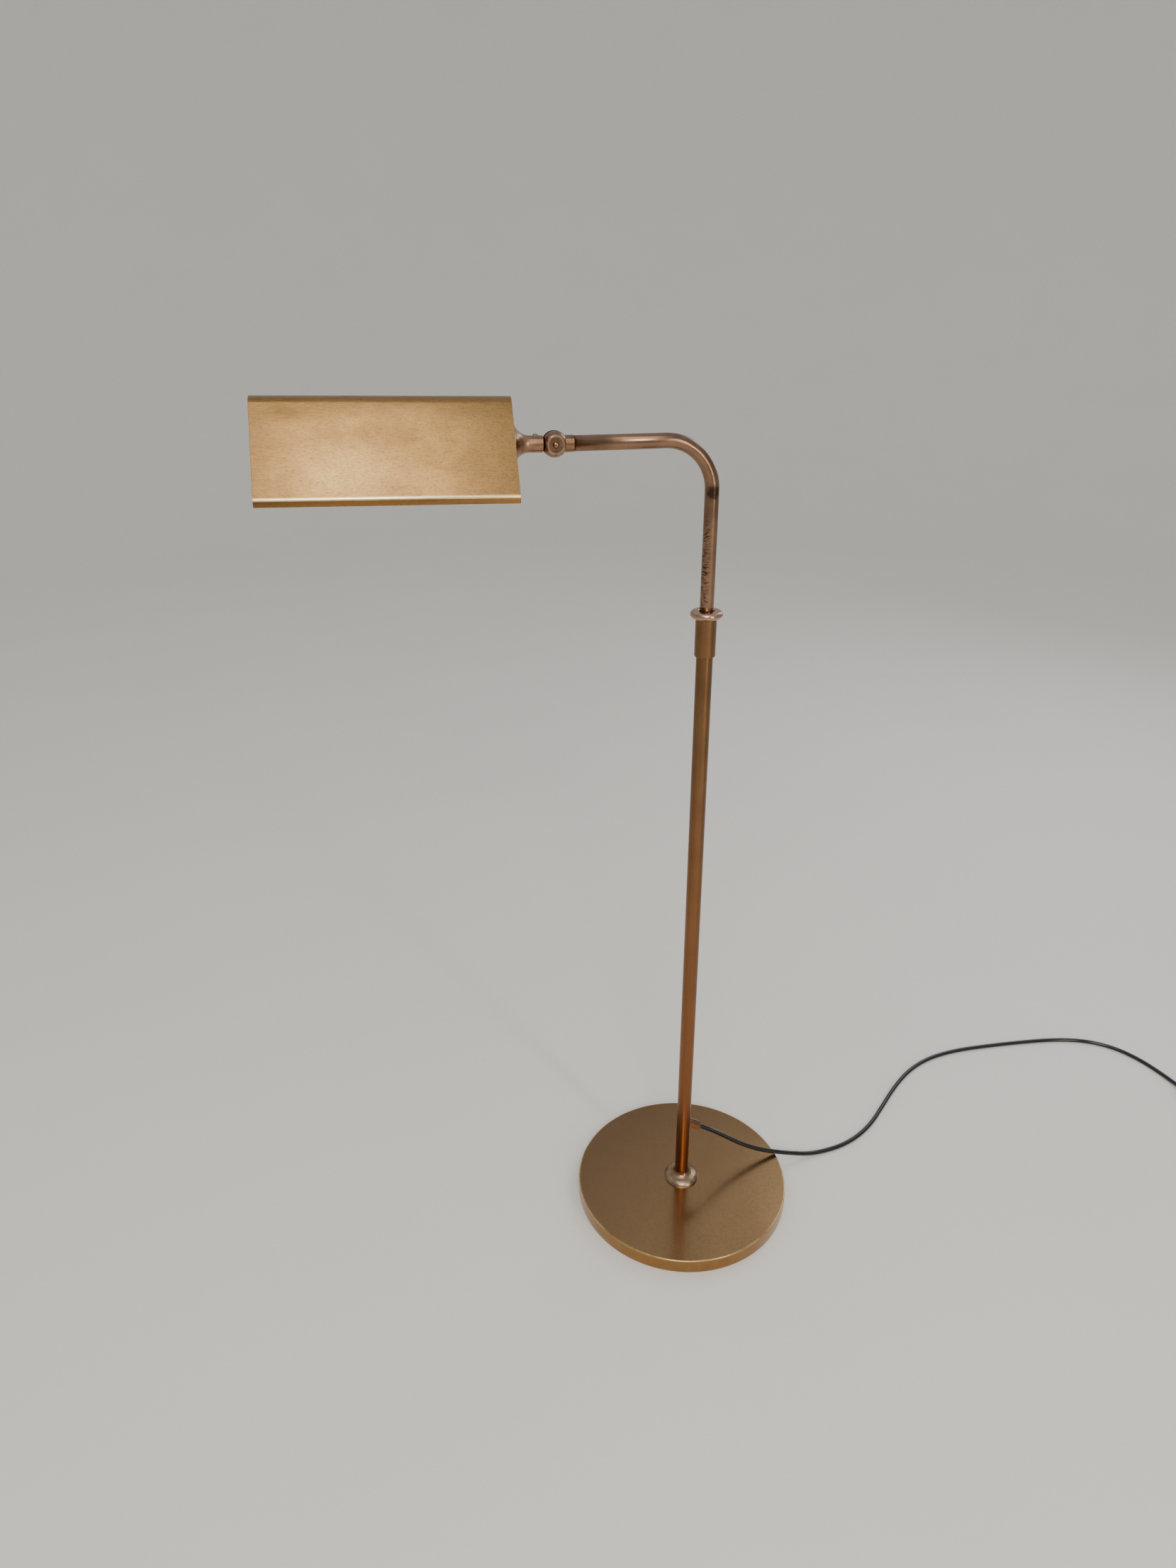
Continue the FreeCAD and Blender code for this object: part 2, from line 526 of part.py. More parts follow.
# Neck: a tongue in the fork and a hollow stud that the trumpet turns on
stud_end = "stem_end + swivel_gap + trumpet_floor + swivel_washer + swivel_nut + 0.4"
stem = rod("stem_rod", "stem_dia / 2", "stem_end - stem_cup * 0.7", "stem_cup * 0.7")
cup = bind(doc.addObject("Part::Sphere", "cup"), Radius="stem_cup")
tongue = joined("tongue_metal", rod("tongue_disc", "tongue_radius", "tongue_thick", axis="x"),
                block("tongue_bar", "tongue_thick", "stem_dia * 0.72", "stem_cup + 1"))
stud = rod("stud", "stud_dia / 2", f"{stud_end} - stem_end", "stem_end")
neck_cuts = [
    rod("neck_pin_hole", pin_hole, "tongue_thick + 1", axis="x"),
    rod("stud_bore_rod", "stud_bore / 2", f"{stud_end} - stem_cup", "stem_cup"),
]
node("neck_stem", cut("neck", joined("neck_metal", cut("cupped", stem, cup), tongue, stud), *neck_cuts), HEAD)
washer_at = "stem_end + swivel_gap + trumpet_floor + slip"
node("neck_washer", padded("fibre_washer", "XY_Plane", "swivel_washer", ("0", "0", "trumpet_cavity / 2 - 0.9"),
                           ("0", "0", "stud_dia / 2 + slip"), lift=washer_at), HEAD)
neck_nut_at = f"{washer_at} + swivel_washer + slip"
node("neck_nut", padded("round_nut", "XY_Plane", "swivel_nut", hexagon("trumpet_cavity - 3.4"),
                        ("0", "0", "stud_dia / 2 + thread_gap"), lift=neck_nut_at), HEAD)
trumpet_at = "stem_end + swivel_gap"
flare = "trumpet_dia / 2 - stem_dia / 2"
flare_long = f"sqrt(trumpet_curve ^ 2 - (trumpet_curve - ({flare})) ^ 2)"
trumpet = turned("trumpet", [
    ("stud_dia / 2 + slip", trumpet_at),
    ("stem_dia / 2", trumpet_at),
    ("stem_dia / 2", f"{trumpet_at} + trumpet_land", "trumpet_curve", -1),
    ("trumpet_dia / 2", f"{trumpet_at} + trumpet_land + {flare_long}"),
    ("trumpet_dia / 2", "shade_from"),
    ("trumpet_cavity / 2", "shade_from"),
    ("trumpet_cavity / 2", f"{trumpet_at} + trumpet_floor"),
    ("stud_dia / 2 + slip", f"{trumpet_at} + trumpet_floor"),
])
screw_y = ["-screw_apart / 2", "screw_apart / 2"]
threads = [rod(f"trumpet_thread_{k}", "screw_dia / 2 + thread_gap", "screw_deep", "shade_from - screw_deep", y=y)
           for k, y in enumerate(screw_y)]
node("neck_trumpet", cut("bored_trumpet", trumpet, *threads), HEAD)


# Shade: one bent sheet with a round ridge, straight panels and upright lips, and two end caps
def half_section(inset, side):
    """The shade's outline from the ridge to the lower edge on one side, set in from the outside."""
    ridge = f"(ridge_radius - ({inset}))"
    bend = f"(fold_radius - ({inset}))"
    top_x = f"{ridge} * cos(shade_lean)"
    top_y = f"shade_top - ridge_radius + {ridge} * sin(shade_lean)"
    fold_x = f"(shade_half - ({inset}))"
    fold_y = f"({top_y} - ({fold_x} - {top_x}) / tan(shade_lean))"
    back_off = f"{bend} * tan(shade_lean / 2)"
    return [
        (f"{side} * {top_x}", top_y),
        (f"{side} * ({fold_x} - {back_off} * sin(shade_lean))", f"{fold_y} + {back_off} * cos(shade_lean)", bend),
        (f"{side} * {fold_x}", f"{fold_y} - {back_off}"),
        (f"{side} * {fold_x}", "-shade_drop"),
    ]


def section(inset):
    """The whole outline from the front lower edge over the ridge to the back one."""
    front, rear = half_section(inset, 1), half_section(inset, -1)
    ridge = f"ridge_radius - ({inset})"
    return [
        front[3],
        (*front[2], front[1][2], 1),
        front[1][:2],
        (*front[0], ridge, 1),
        rear[0],
        (*rear[1], 1),
        rear[2],
        rear[3],
    ]


def reverse(outline):
    """The same outline the other way round."""
    arcs = [corner[2:] for corner in outline]
    points = [corner[:2] for corner in outline]
    turned_arcs = [(arc[0], -arc[1]) if arc else () for arc in reversed(arcs[:-1])] + [()]
    return [(*point, *arc) for point, arc in zip(reversed(points), turned_arcs)]


node("shade_shell", padded("shell", "XY_Plane", "shade_long", section("0") + reverse(section("shade_wall")),
                           lift="shade_from"), HEAD)
cap_inset = "shade_wall + cap_gap"
cap_right_top = "shade_from + cap_thick"
cap_right = padded("right_plate", "XY_Plane", "cap_thick", section(cap_inset), lift="shade_from")
cap_holes = [rod("cap_lead_hole", "cap_hole / 2", "cap_thick", "shade_from")]
cap_holes += [rod(f"cap_screw_hole_{k}", "screw_dia / 2 + 0.2", "cap_thick", "shade_from", y=y)
              for k, y in enumerate(screw_y)]
node("shade_cap_right", cut("holed_plate", cap_right, *cap_holes), HEAD)
node("shade_cap_left", padded("left_plate", "XY_Plane", "cap_thick", section(cap_inset),
                              lift="shade_from + shade_long - cap_thick"), HEAD)

# Lampholder on its bracket inside the shade, with a tubular bulb
feet = cap_right_top
bracket_end = "screw_apart / 2 + 4"
raised = f"{feet} + bracket_rise"
profile = [
    (f"-({bracket_end})", feet),
    ("-bracket_top / 2 + bracket_thick", feet),
    ("-bracket_top / 2 + bracket_thick", f"{raised} - bracket_thick"),
    ("bracket_top / 2 - bracket_thick", f"{raised} - bracket_thick"),
    ("bracket_top / 2 - bracket_thick", feet),
    (bracket_end, feet),
    (bracket_end, f"{feet} + bracket_thick"),
    ("bracket_top / 2", f"{feet} + bracket_thick"),
    ("bracket_top / 2", raised),
    ("-bracket_top / 2", raised),
    ("-bracket_top / 2", f"{feet} + bracket_thick"),
    (f"-({bracket_end})", f"{feet} + bracket_thick"),
]
bracket = padded("hat", "YZ_Plane", "bracket_wide", profile, middle=True)
bracket_holes = [rod("bracket_hole", stay_hole, "bracket_rise + 1", feet)]
bracket_holes += [rod(f"bracket_screw_hole_{k}", "screw_dia / 2 + 0.2", "bracket_thick", feet, y=y)
                  for k, y in enumerate(screw_y)]
node("holder_bracket", cut("bracket", bracket, *bracket_holes), HEAD)
head_seat = f"{feet} + bracket_thick"
screws = []
for k, y in enumerate(screw_y):
    screws.append(rod(f"screw_head_{k}", "screw_dia * 0.93", "screw_dia * 0.65", head_seat, y=y))
    screws.append(rod(f"screw_shank_{k}", "screw_dia / 2", f"{head_seat} - shade_from + screw_deep - 0.2",
                      "shade_from - screw_deep + 0.2", y=y))
node("bracket_screws", joined("two_screws", *screws), HEAD)
holder_nut_foot = f"{raised} - bracket_thick - holder_nut_high"
node("holder_nut", padded("thin_nut", "XY_Plane", "holder_nut_high", hexagon("holder_nut_flats"),
                          ("0", "0", "stay_dia / 2 + thread_gap"), lift=holder_nut_foot), HEAD)
node("holder_stay", padded("short_stay", "XY_Plane", "bracket_thick + holder_nut_high + holder_base + 0.8",
                           ("0", "0", "stay_dia / 2"), ("0", "0", "stay_bore / 2"),
                           lift=f"{holder_nut_foot} - 0.8"), HEAD)
node("lampholder", turned("holder", [
    ("stay_dia / 2 + thread_gap", raised),
    ("holder_dia / 2 - 2.5", raised),
    ("holder_dia / 2", f"{raised} + 4"),
    ("holder_dia / 2", f"{raised} + holder_long"),
    ("holder_bore / 2", f"{raised} + holder_long"),
    ("holder_bore / 2", f"{raised} + holder_base"),
    ("stay_dia / 2 + thread_gap", f"{raised} + holder_base"),
]), HEAD)
contact_foot = f"{raised} + holder_base"
cap_foot = f"{contact_foot} + contact_high + slip"
node("holder_contact", turned("contact", [
    ("1.8", contact_foot),
    ("holder_bore / 2 - 0.4", contact_foot),
    ("holder_bore / 2 - 0.4", f"{contact_foot} + 1"),
    ("2.6", f"{contact_foot} + contact_high"),
    ("1.8", f"{contact_foot} + contact_high"),
]), HEAD)
node("bulb_cap", turned("lamp_cap", [
    ("0", cap_foot),
    ("2.4", cap_foot),
    ("bulb_cap_dia / 2 - 1.2", f"{cap_foot} + 2.5"),
    ("bulb_cap_dia / 2", f"{cap_foot} + 3.5"),
    ("bulb_cap_dia / 2", f"{cap_foot} + bulb_cap_long"),
    ("0", f"{cap_foot} + bulb_cap_long"),
]), HEAD)
glass_foot = f"{cap_foot} + bulb_cap_long"
node("bulb_glass", turned("lamp_glass", [
    ("0", glass_foot),
    ("bulb_cap_dia / 2", glass_foot),
    ("bulb_dia / 2", f"{glass_foot} + 9"),
    ("bulb_dia / 2", f"{glass_foot} + bulb_long - bulb_dia / 2", "bulb_dia / 2", 1),
    ("0", f"{glass_foot} + bulb_long"),
]), HEAD)
node("head_lead", padded("lead_rod", "XY_Plane", f"{contact_foot} - stem_cup", ("0", "0", "head_lead_dia / 2"),
                         lift="stem_cup"), HEAD)


# Cord: straight runs joined by arcs that touch both runs
def route(points):
    """The wire through the points, and its radii: each arc takes 0.45 of its shorter run."""
    edges, radii, start = [], [], points[0]
    for before, corner, after in zip(points, points[1:], points[2:]):
        back, ahead = before - corner, after - corner
        half_turn = (math.pi - back.getAngle(ahead)) / 2
        reach = 0.45 * min(back.Length, ahead.Length)
        radii.append(reach / math.tan(half_turn))
        back.normalize()
        ahead.normalize()
        bisector = (back + ahead).normalize()
        middle = corner + bisector * radii[-1] * (1 / math.cos(half_turn) - 1)
        first, last = corner + back * reach, corner + ahead * reach
        edges += [Part.LineSegment(start, first).toShape(), Part.Arc(first, middle, last).toShape()]
        start = last
    edges.append(Part.LineSegment(start, points[-1]).toShape())
    return Part.Wire(edges), radii


def cord_tube(label, points, across):
    """A round cord along a route, made with Part's own sweep because its path turns in three dimensions."""
    wire, radii = route([FreeCAD.Vector(*p) for p in points])
    way = FreeCAD.Vector(*points[1]) - FreeCAD.Vector(*points[0])
    ring = Part.Wire(Part.makeCircle(across / 2, FreeCAD.Vector(*points[0]), way))
    made = doc.addObject("Part::Feature", label)
    made.Shape = wire.makePipeShell([ring], True, True)
    share = made.Shape.Volume / (math.pi * across**2 / 4 * wire.Length)
    print(f"{label}: {wire.Length:.0f} mm, least radius {min(radii):.0f} mm, volume {share:.3f} of section x length")
    print("  radii", " ".join(f"{r:.0f}" for r in radii))
    return node(label, made)


# The cord's lay is given from the edge of the base; its last stretch, the switch, the coil and the
# plug stand off to the right of the lamp.
edge_x = size("base_dia / 2")
cord = size("cord_dia")
reach = size("gland_reach")
FLOOR = cord / 2 + 0.1
SWITCH = FreeCAD.Vector(edge_x + 591.5, -size("switch_long") / 2, 0)
SWITCH_CORD = size("switch_split")
COIL = FreeCAD.Vector(edge_x + 658, -83.4, 0)
COIL_LOW = FLOOR + 0.8
COIL_UP = COIL_LOW + cord + 0.3
coil_edge = size("coil_radius")
PLUG_WAY = FreeCAD.Vector(-0.17, 0.985, 0)
PLUG = COIL + FreeCAD.Vector(coil_edge - 6.4, 79.2, size("plug_thick / 2"))

start = GLAND.multVec(FreeCAD.Vector(0, 0, reach - 11.5))
clear = GLAND.multVec(FreeCAD.Vector(0, 0, reach + 11.5))
over_edge = FreeCAD.Vector(edge_x + 3.5, 9, size("base_high") + 9)
hang = []
for share, side in ((0.17, 3), (0.35, 6.5), (0.55, 8), (0.77, 8.5)):
    drop = (clear.z - over_edge.z) * (1 - (1 - share) ** 1.6)
    hang.append((clear.x + share * (over_edge.x - clear.x), side, clear.z - drop))
cord_tube("cord_from_gland", [
    tuple(start),
    tuple(clear),
    *hang,
    tuple(over_edge),
    (edge_x + 26, 10.5, 15.5),
    (edge_x + 48, 12.5, 6.3),
    (edge_x + 71, 14.5, FLOOR),
    (edge_x + 96, 19, FLOOR),
    (edge_x + 121, 29, FLOOR),
    (edge_x + 149, 47, FLOOR),
    (edge_x + 179, 75, FLOOR),
    (edge_x + 212, 106, FLOOR),
    (edge_x + 248, 133, FLOOR),
    (edge_x + 287, 150, FLOOR),
    (edge_x + 332, 157, FLOOR),
    (edge_x + 382, 156.5, FLOOR),
    (edge_x + 434, 154, FLOOR),
    (edge_x + 487, 149, FLOOR),
    (edge_x + 529, 137, FLOOR),
    (edge_x + 560, 114, FLOOR),
    (edge_x + 578, 83, FLOOR),
    (edge_x + 587, 53, FLOOR),
    (edge_x + 591, 29, FLOOR + 0.9),
    (SWITCH.x, 10, SWITCH_CORD),
    (SWITCH.x, -3, SWITCH_CORD),
], cord)
leave = -size("switch_long")
cord_tube("cord_to_coil", [
    (SWITCH.x, leave + 3, SWITCH_CORD),
    (SWITCH.x, leave - 5.5, SWITCH_CORD),
    (SWITCH.x + 0.3, leave - 22, FLOOR + 1.8),
    (COIL.x - 57, COIL.y - coil_edge + 9.2, COIL_LOW),
    (COIL.x - 39, COIL.y - coil_edge, COIL_LOW),
    (COIL.x - 22, COIL.y - coil_edge, COIL_LOW),
], cord)
cord_tube("cord_to_plug", [
    (COIL.x + coil_edge, COIL.y + 22, COIL_UP),
    (COIL.x + coil_edge, COIL.y + 36.4, COIL_UP),
    tuple(PLUG - PLUG_WAY * 28.5 + FreeCAD.Vector(1.1, 0, 0.9)),
    tuple(PLUG - PLUG_WAY * 14),
    tuple(PLUG),
], cord)


# Coil: two layers of turns, drawn as one ring with the two ends that leave it, and its tie
def coil_section(grow):
    """The ring's section, grown by this much on every side."""
    inner = f"coil_radius - 2 * (cord_dia + 0.3) - cord_dia / 2 - {grow}"
    outer = f"coil_radius + cord_dia / 2 + {grow}"
    foot = f"cord_dia * 0 + 0.9 - {grow}"
    top = f"0.9 + 2 * cord_dia + 0.3 + {grow}"
    bend = f"cord_dia / 2 + {grow}"
    return [
        (f"{inner} + {bend}", foot),
        (f"{outer} - ({bend})", foot, bend, 1),
        (outer, f"{foot} + {bend}"),
        (outer, f"{top} - ({bend})", bend, 1),
        (f"{outer} - ({bend})", top),
        (f"{inner} + {bend}", top, bend, 1),
        (inner, f"{top} - ({bend})"),
        (inner, f"{foot} + {bend}", bend, 1),
    ]


coil_place = FreeCAD.Placement(COIL, FreeCAD.Rotation())
ends = [rod("coil_start", "cord_dia / 2", "22", "0.9 + cord_dia / 2", "x", x="-11", y="-coil_radius"),
        rod("coil_finish", "cord_dia / 2", "22", "0.9 + cord_dia * 1.5 + 0.3", "y", x="coil_radius", y="11")]
node("cord_coil", joined("coil", turned("coil_ring", coil_section("0")), *ends), coil_place)
tie_wide = "2 * (cord_dia + 0.3) + cord_dia + 1.6"
tie_band = block("tie_block", tie_wide, "7", "2 * cord_dia + 0.3 + 1.6", "0.1",
                 x="-(coil_radius - cord_dia - 0.3)")
node("cord_tie", cut("tie", tie_band, turned("tie_hollow", coil_section("0.05"))), coil_place)


# Cord switch: two shells, a rocker on its pin, contacts and two screws
def pill(inset):
    """The switch seen from above, set in from the outside, with round corners."""
    wide, far = f"(switch_wide / 2 - {inset})", f"(switch_long / 2 - {inset})"
    bend = f"(switch_wide * 0.35 - {inset})"
    return [
        (f"-{wide} + {bend}", f"-{far}"),
        (f"{wide} - {bend}", f"-{far}", bend, 1),
        (wide, f"-{far} + {bend}"),
        (wide, f"{far} - {bend}", bend, 1),
        (f"{wide} - {bend}", far),
        (f"-{wide} + {bend}", far, bend, 1),
        (f"-{wide}", f"{far} - {bend}"),
        (f"-{wide}", f"-{far} + {bend}", bend, 1),
    ]


switch_place = FreeCAD.Placement(SWITCH, FreeCAD.Rotation())
split, high, wall = "switch_split", "switch_high", "switch_wall"
post_y = ["-switch_long * 0.3", "switch_long * 0.3"]
pin_high = "switch_high - 3"
bore = rod("switch_cord_bore", "cord_dia / 2 + slip", "switch_long + 2", split, "y")
lower = cut("lower_hollowed", padded("lower_shell", "XY_Plane", split, pill("0")),
            padded("lower_hollow", "XY_Plane", f"{split} - {wall}", pill(wall), lift=wall), bore)
lower_posts = [rod(f"lower_post_{k}", "3.2", f"{split} - 1", "1", y=y) for k, y in enumerate(post_y)]
lower_holes = [rod(f"lower_hole_{k}", "1.6", split, "0", y=y) for k, y in enumerate(post_y)]
lower_holes += [rod(f"lower_sink_{k}", "3", "2", "0", y=y) for k, y in enumerate(post_y)]
node("switch_base", cut("switch_lower", joined("lower_metal", lower, *lower_posts), *lower_holes), switch_place)
upper = cut("upper_hollowed", padded("upper_shell", "XY_Plane", f"{high} - {split}", pill("0"), lift=split),
            padded("upper_hollow", "XY_Plane", f"{high} - {wall} - {split}", pill(wall), lift=split), bore)
upper_posts = [rod(f"upper_post_{k}", "3.2", f"{high} - {split} - 1", split, y=y) for k, y in enumerate(post_y)]
lug_x = "rocker_wide / 2 + rocker_gap + 1.4"
upper_posts += [block(f"pin_lug_{k}", "2.2", "6", "5", f"{high} - 5.8", x=f"{side} * ({lug_x})")
                for k, side in enumerate((-1, 1))]
upper_holes = [rod(f"upper_hole_{k}", "1.45", "5", split, y=y) for k, y in enumerate(post_y)]
upper_holes += [block("window", "rocker_wide + 2 * rocker_gap", "rocker_long + 2 * rocker_gap", "4", f"{high} - 3"),
                rod("upper_pin_hole", "rocker_pin / 2 + slip", f"2 * ({lug_x}) + 3", pin_high, "x")]
node("switch_cover", cut("switch_upper", joined("upper_shape", upper, *upper_posts), *upper_holes), switch_place)
shanks = [rod(f"switch_screw_{k}", "1.4", f"{split} + 2.5", "2", y=y) for k, y in enumerate(post_y)]
shanks += [rod(f"switch_screw_head_{k}", "2.7", "1.6", "0.4", y=y) for k, y in enumerate(post_y)]
node("switch_screws", joined("switch_two_screws", *shanks), switch_place)
strips = [block(f"contact_strip_{k}", "4", "9", f"{split} - {wall} - 1.5", wall, x="5", y=y)
          for k, y in enumerate(("-switch_long * 0.19", "switch_long * 0.19"))]
node("switch_contacts", joined("two_strips", *strips), switch_place)
node("switch_pin", padded("axle", "YZ_Plane", f"2 * ({lug_x}) + 1.4", ("0", pin_high, "rocker_pin / 2"),
                          middle=True), switch_place)
swing = "rocker_long / 2"
above, below = 3.9, 3
chord_up = f"sqrt(({swing}) ^ 2 - {above} ^ 2)"
chord_low = f"sqrt(({swing}) ^ 2 - {below} ^ 2)"
rocker = padded("rocker_bar", "YZ_Plane", "rocker_wide", [
    (f"-({chord_low})", f"-{below}"),
    (chord_low, f"-{below}", swing, 1),
    (chord_up, above),
    (f"-({chord_up})", above, swing, 1),
], ("0", "0", "rocker_pin / 2 + slip"), middle=True)
pressed = FreeCAD.Placement(FreeCAD.Vector(0, 0, size(pin_high)), FreeCAD.Rotation(FreeCAD.Vector(1, 0, 0), 7))
node("switch_rocker", rocker, switch_place.multiply(pressed))


# Flat two-pin mains plug with a tapering strain relief
across = "plug_wide / 2"
plug_plan = [
    (f"-{across} * 0.72", "plug_boot"),
    (f"{across} * 0.72", "plug_boot", "plug_wide * 0.3", 1),
    (across, "plug_boot + plug_body * 0.45"),
    (f"{across} * 0.92", "plug_boot + plug_body - 2", "2.2", 1),
    (f"{across} * 0.92 - 2", "plug_boot + plug_body"),
    (f"-{across} * 0.92 + 2", "plug_boot + plug_body", "2.2", 1),
    (f"-{across} * 0.92", "plug_boot + plug_body - 2"),
    (f"-{across}", "plug_boot + plug_body * 0.45", "plug_wide * 0.3", 1),
]
plug_block = padded("plug_block", "XY_Plane", "plug_thick", plug_plan, middle=True)
boot = turned("boot", [
    ("0", "0"),
    ("cord_dia / 2 + 1", "0"),
    ("plug_thick * 0.42", "plug_boot + 2"),
    ("0", "plug_boot + 2"),
])
boot.Placement.Rotation = FreeCAD.Rotation(FreeCAD.Vector(1, 0, 0), -90)
pin_x = ["-plug_pin_apart / 2", "plug_pin_apart / 2"]
nose = "plug_boot + plug_body"
sleeves = [rod(f"pin_sleeve_{k}", "plug_pin_dia / 2", "11", "0", "y", x=x, y=f"{nose} + 4.5")
           for k, x in enumerate(pin_x)]
sockets = [rod(f"pin_socket_{k}", "plug_pin_dia / 2 - 0.3", "13.5", "0", "y", x=x, y=f"{nose} + 3.3")
           for k, x in enumerate(pin_x)]
heading = FreeCAD.Rotation(FreeCAD.Vector(0, 1, 0), PLUG_WAY)
node("plug_body", cut("plug", joined("plug_shape", plug_block, boot, *sleeves), *sockets),
     FreeCAD.Placement(PLUG, heading))
prongs = []
for k, x in enumerate(pin_x):
    prongs.append(rod(f"prong_root_{k}", "plug_pin_dia / 2 - 0.35", "14", "0", "y", x=x, y=f"{nose} + 3.8"))
    prongs.append(rod(f"prong_tip_{k}", "plug_pin_dia / 2", "plug_pin_long - 12", "0", "y", x=x,
                      y=f"{nose} + 10.2 + (plug_pin_long - 12) / 2"))
    prongs.append(bind(doc.addObject("Part::Sphere", f"prong_end_{k}"), Radius="plug_pin_dia / 2",
                       Placement__Base__x=x, Placement__Base__y=f"{nose} + plug_pin_long - 1.8"))
node("plug_pins", joined("two_prongs", *prongs), FreeCAD.Placement(PLUG, heading))

doc.recompute()
bad = [o.Name for o in doc.Objects if {"Invalid", "Error"} & set(o.State)]
bad += [o.Label for o in NODES if o.Shape.isNull() or not o.Shape.isValid() or not o.Shape.Solids]
if bad:
    raise SystemExit("these did not build: " + ", ".join(bad))
os.makedirs("parts", exist_ok=True)
for made in NODES:
    made.Shape.exportStep(f"parts/{made.Label}.step")
print(len(NODES), "parts written")
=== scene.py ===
import math

import bmesh
import bpy
from mathutils import Matrix, Vector


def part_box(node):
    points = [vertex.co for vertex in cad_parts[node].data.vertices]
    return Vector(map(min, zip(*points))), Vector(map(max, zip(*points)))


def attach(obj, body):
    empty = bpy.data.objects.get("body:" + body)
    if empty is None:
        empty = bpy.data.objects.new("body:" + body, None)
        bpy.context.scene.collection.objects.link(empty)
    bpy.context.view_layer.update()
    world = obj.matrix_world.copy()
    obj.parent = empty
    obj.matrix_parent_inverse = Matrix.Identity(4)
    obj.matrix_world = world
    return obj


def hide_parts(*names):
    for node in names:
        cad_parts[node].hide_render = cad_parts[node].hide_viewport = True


# A pharmacy floor lamp in aged brass: a weighted disc base, a fixed column, a bent tube that slides
# and turns in it, a ball knuckle and a tent-shaped shade. The column stands on the origin, +Z is up,
# the arm points along -X and the side that is looked at is -Y. Everything is in metres.
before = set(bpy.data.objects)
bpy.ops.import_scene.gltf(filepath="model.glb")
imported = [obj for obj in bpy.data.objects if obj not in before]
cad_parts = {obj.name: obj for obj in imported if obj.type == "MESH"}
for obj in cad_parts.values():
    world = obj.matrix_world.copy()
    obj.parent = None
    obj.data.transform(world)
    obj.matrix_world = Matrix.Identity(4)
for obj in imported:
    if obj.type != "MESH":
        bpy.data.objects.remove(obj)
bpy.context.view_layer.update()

# Viewpoint: someone stands in front of the lamp with their eyes a little above its shade and looks
# down to the floor. The lens is that of a hand-held camera at its widest.
right = Vector((0.97998, -0.19900, -0.00542))
up = Vector((0.08949, 0.41604, 0.90493))
ahead = Vector((0.17783, 0.88730, -0.42552))
lens = bpy.data.cameras.new("viewpoint")
lens.lens = 23.44  # mm, on a full frame's long side
lens.sensor_width = 36
viewpoint = bpy.data.objects.new("viewpoint", lens)
turn = Matrix((right, up, -ahead)).transposed().to_4x4()
eyes = Vector((-0.29006, -0.88361, 0.97905))
viewpoint.matrix_world = Matrix.Translation(eyes) @ turn
bpy.context.collection.objects.link(viewpoint)
bpy.context.scene.camera = viewpoint


# Mains cord: 5.4 mm round two-core flex in a smooth black PVC sheath. It droops out of the gland,
# passes just over the rim of the base and wanders over the floor to a cord switch; the rest is put
# away in a tied coil of four and a quarter turns, two layers deep, with the plug beside it.
CORD = 0.0054
LYING = 0.0028  # height of the cord's middle where it lies on the floor
route = [
    (0.0093, 0, 0.0992),
    (0.0285, 0.0005, 0.0872),
    (0.0425, 0.0048, 0.0742),
    (0.0590, 0.0074, 0.0597),
    (0.0785, 0.0080, 0.0440),
    (0.1010, 0.0083, 0.0308),
    (0.1240, 0.0088, 0.0212),
    (0.1475, 0.0102, 0.0125),
    (0.1710, 0.0125, 0.0045),
    (0.1955, 0.0145, LYING),
    (0.2205, 0.019, LYING),
    (0.2455, 0.029, LYING),
    (0.2735, 0.047, LYING),
    (0.3035, 0.075, LYING),
    (0.3365, 0.106, LYING),
    (0.3725, 0.133, LYING),
    (0.4115, 0.150, LYING),
    (0.4565, 0.157, LYING),
    (0.5065, 0.1565, LYING),
    (0.5585, 0.154, LYING),
    (0.6115, 0.149, LYING),
    (0.6535, 0.137, LYING),
    (0.6845, 0.114, LYING),
    (0.7025, 0.083, LYING),
    (0.7115, 0.053, LYING),
    (0.7155, 0.029, 0.0037),
    (0.716, 0.010, 0.008),
    (0.716, -0.003, 0.008),
    (0.716, -0.0775, 0.008),
    (0.7163, -0.094, 0.0046),
    (0.7255, -0.1082, 0.0036),
    (0.7435, -0.1174, 0.0036),
    (0.7605, -0.1174, 0.0036),
]
COIL = Vector((0.7825, -0.0834))
COIL_OUTER = 0.034
COIL_LOW = 0.0036
COIL_STEP = 0.0057  # one turn to the next, beside or on each other
TURNS, LOW_TURNS = 4.25, 2
STEPS = 16
CUT_CORNERS = math.cos(math.pi / STEPS) ** 0.7  # the spline runs this much inside its points
for step in range(1, int(TURNS * STEPS)):
    turns = step / STEPS
    if turns <= LOW_TURNS:  # winding inwards on the floor
        radius, height = COIL_OUTER - COIL_STEP * turns, COIL_LOW
    else:  # and outwards again on top
        high_turns = turns - LOW_TURNS
        radius = COIL_OUTER - COIL_STEP * (LOW_TURNS - high_turns * LOW_TURNS / (TURNS - LOW_TURNS))
        height = COIL_LOW + COIL_STEP * min(1, high_turns / 0.3)
    angle = math.radians(360 * turns - 90)
    radius /= CUT_CORNERS
    route.append((COIL.x + radius * math.cos(angle), COIL.y + radius * math.sin(angle), height))
route += [
    (0.8165, -0.0834, 0.0093),
    (0.8165, -0.0614, 0.0093),
    (0.8165, -0.047, 0.0093),
    (0.8160, -0.0323, 0.0077),
    (0.8125, -0.0180, 0.0068),
    (0.8101, -0.0042, 0.0068),
]
flex = bpy.data.curves.new("mains_cord", "CURVE")
flex.dimensions = "3D"
flex.bevel_depth = 1  # times each point's radius, which is half the cord
flex.bevel_resolution = 6
flex.resolution_u = 8
flex.use_fill_caps = True
run = flex.splines.new("NURBS")
run.points.add(len(route) - 1)
for point, place in zip(run.points, route):
    point.co = (*place, 1)
    point.radius = CORD / 2
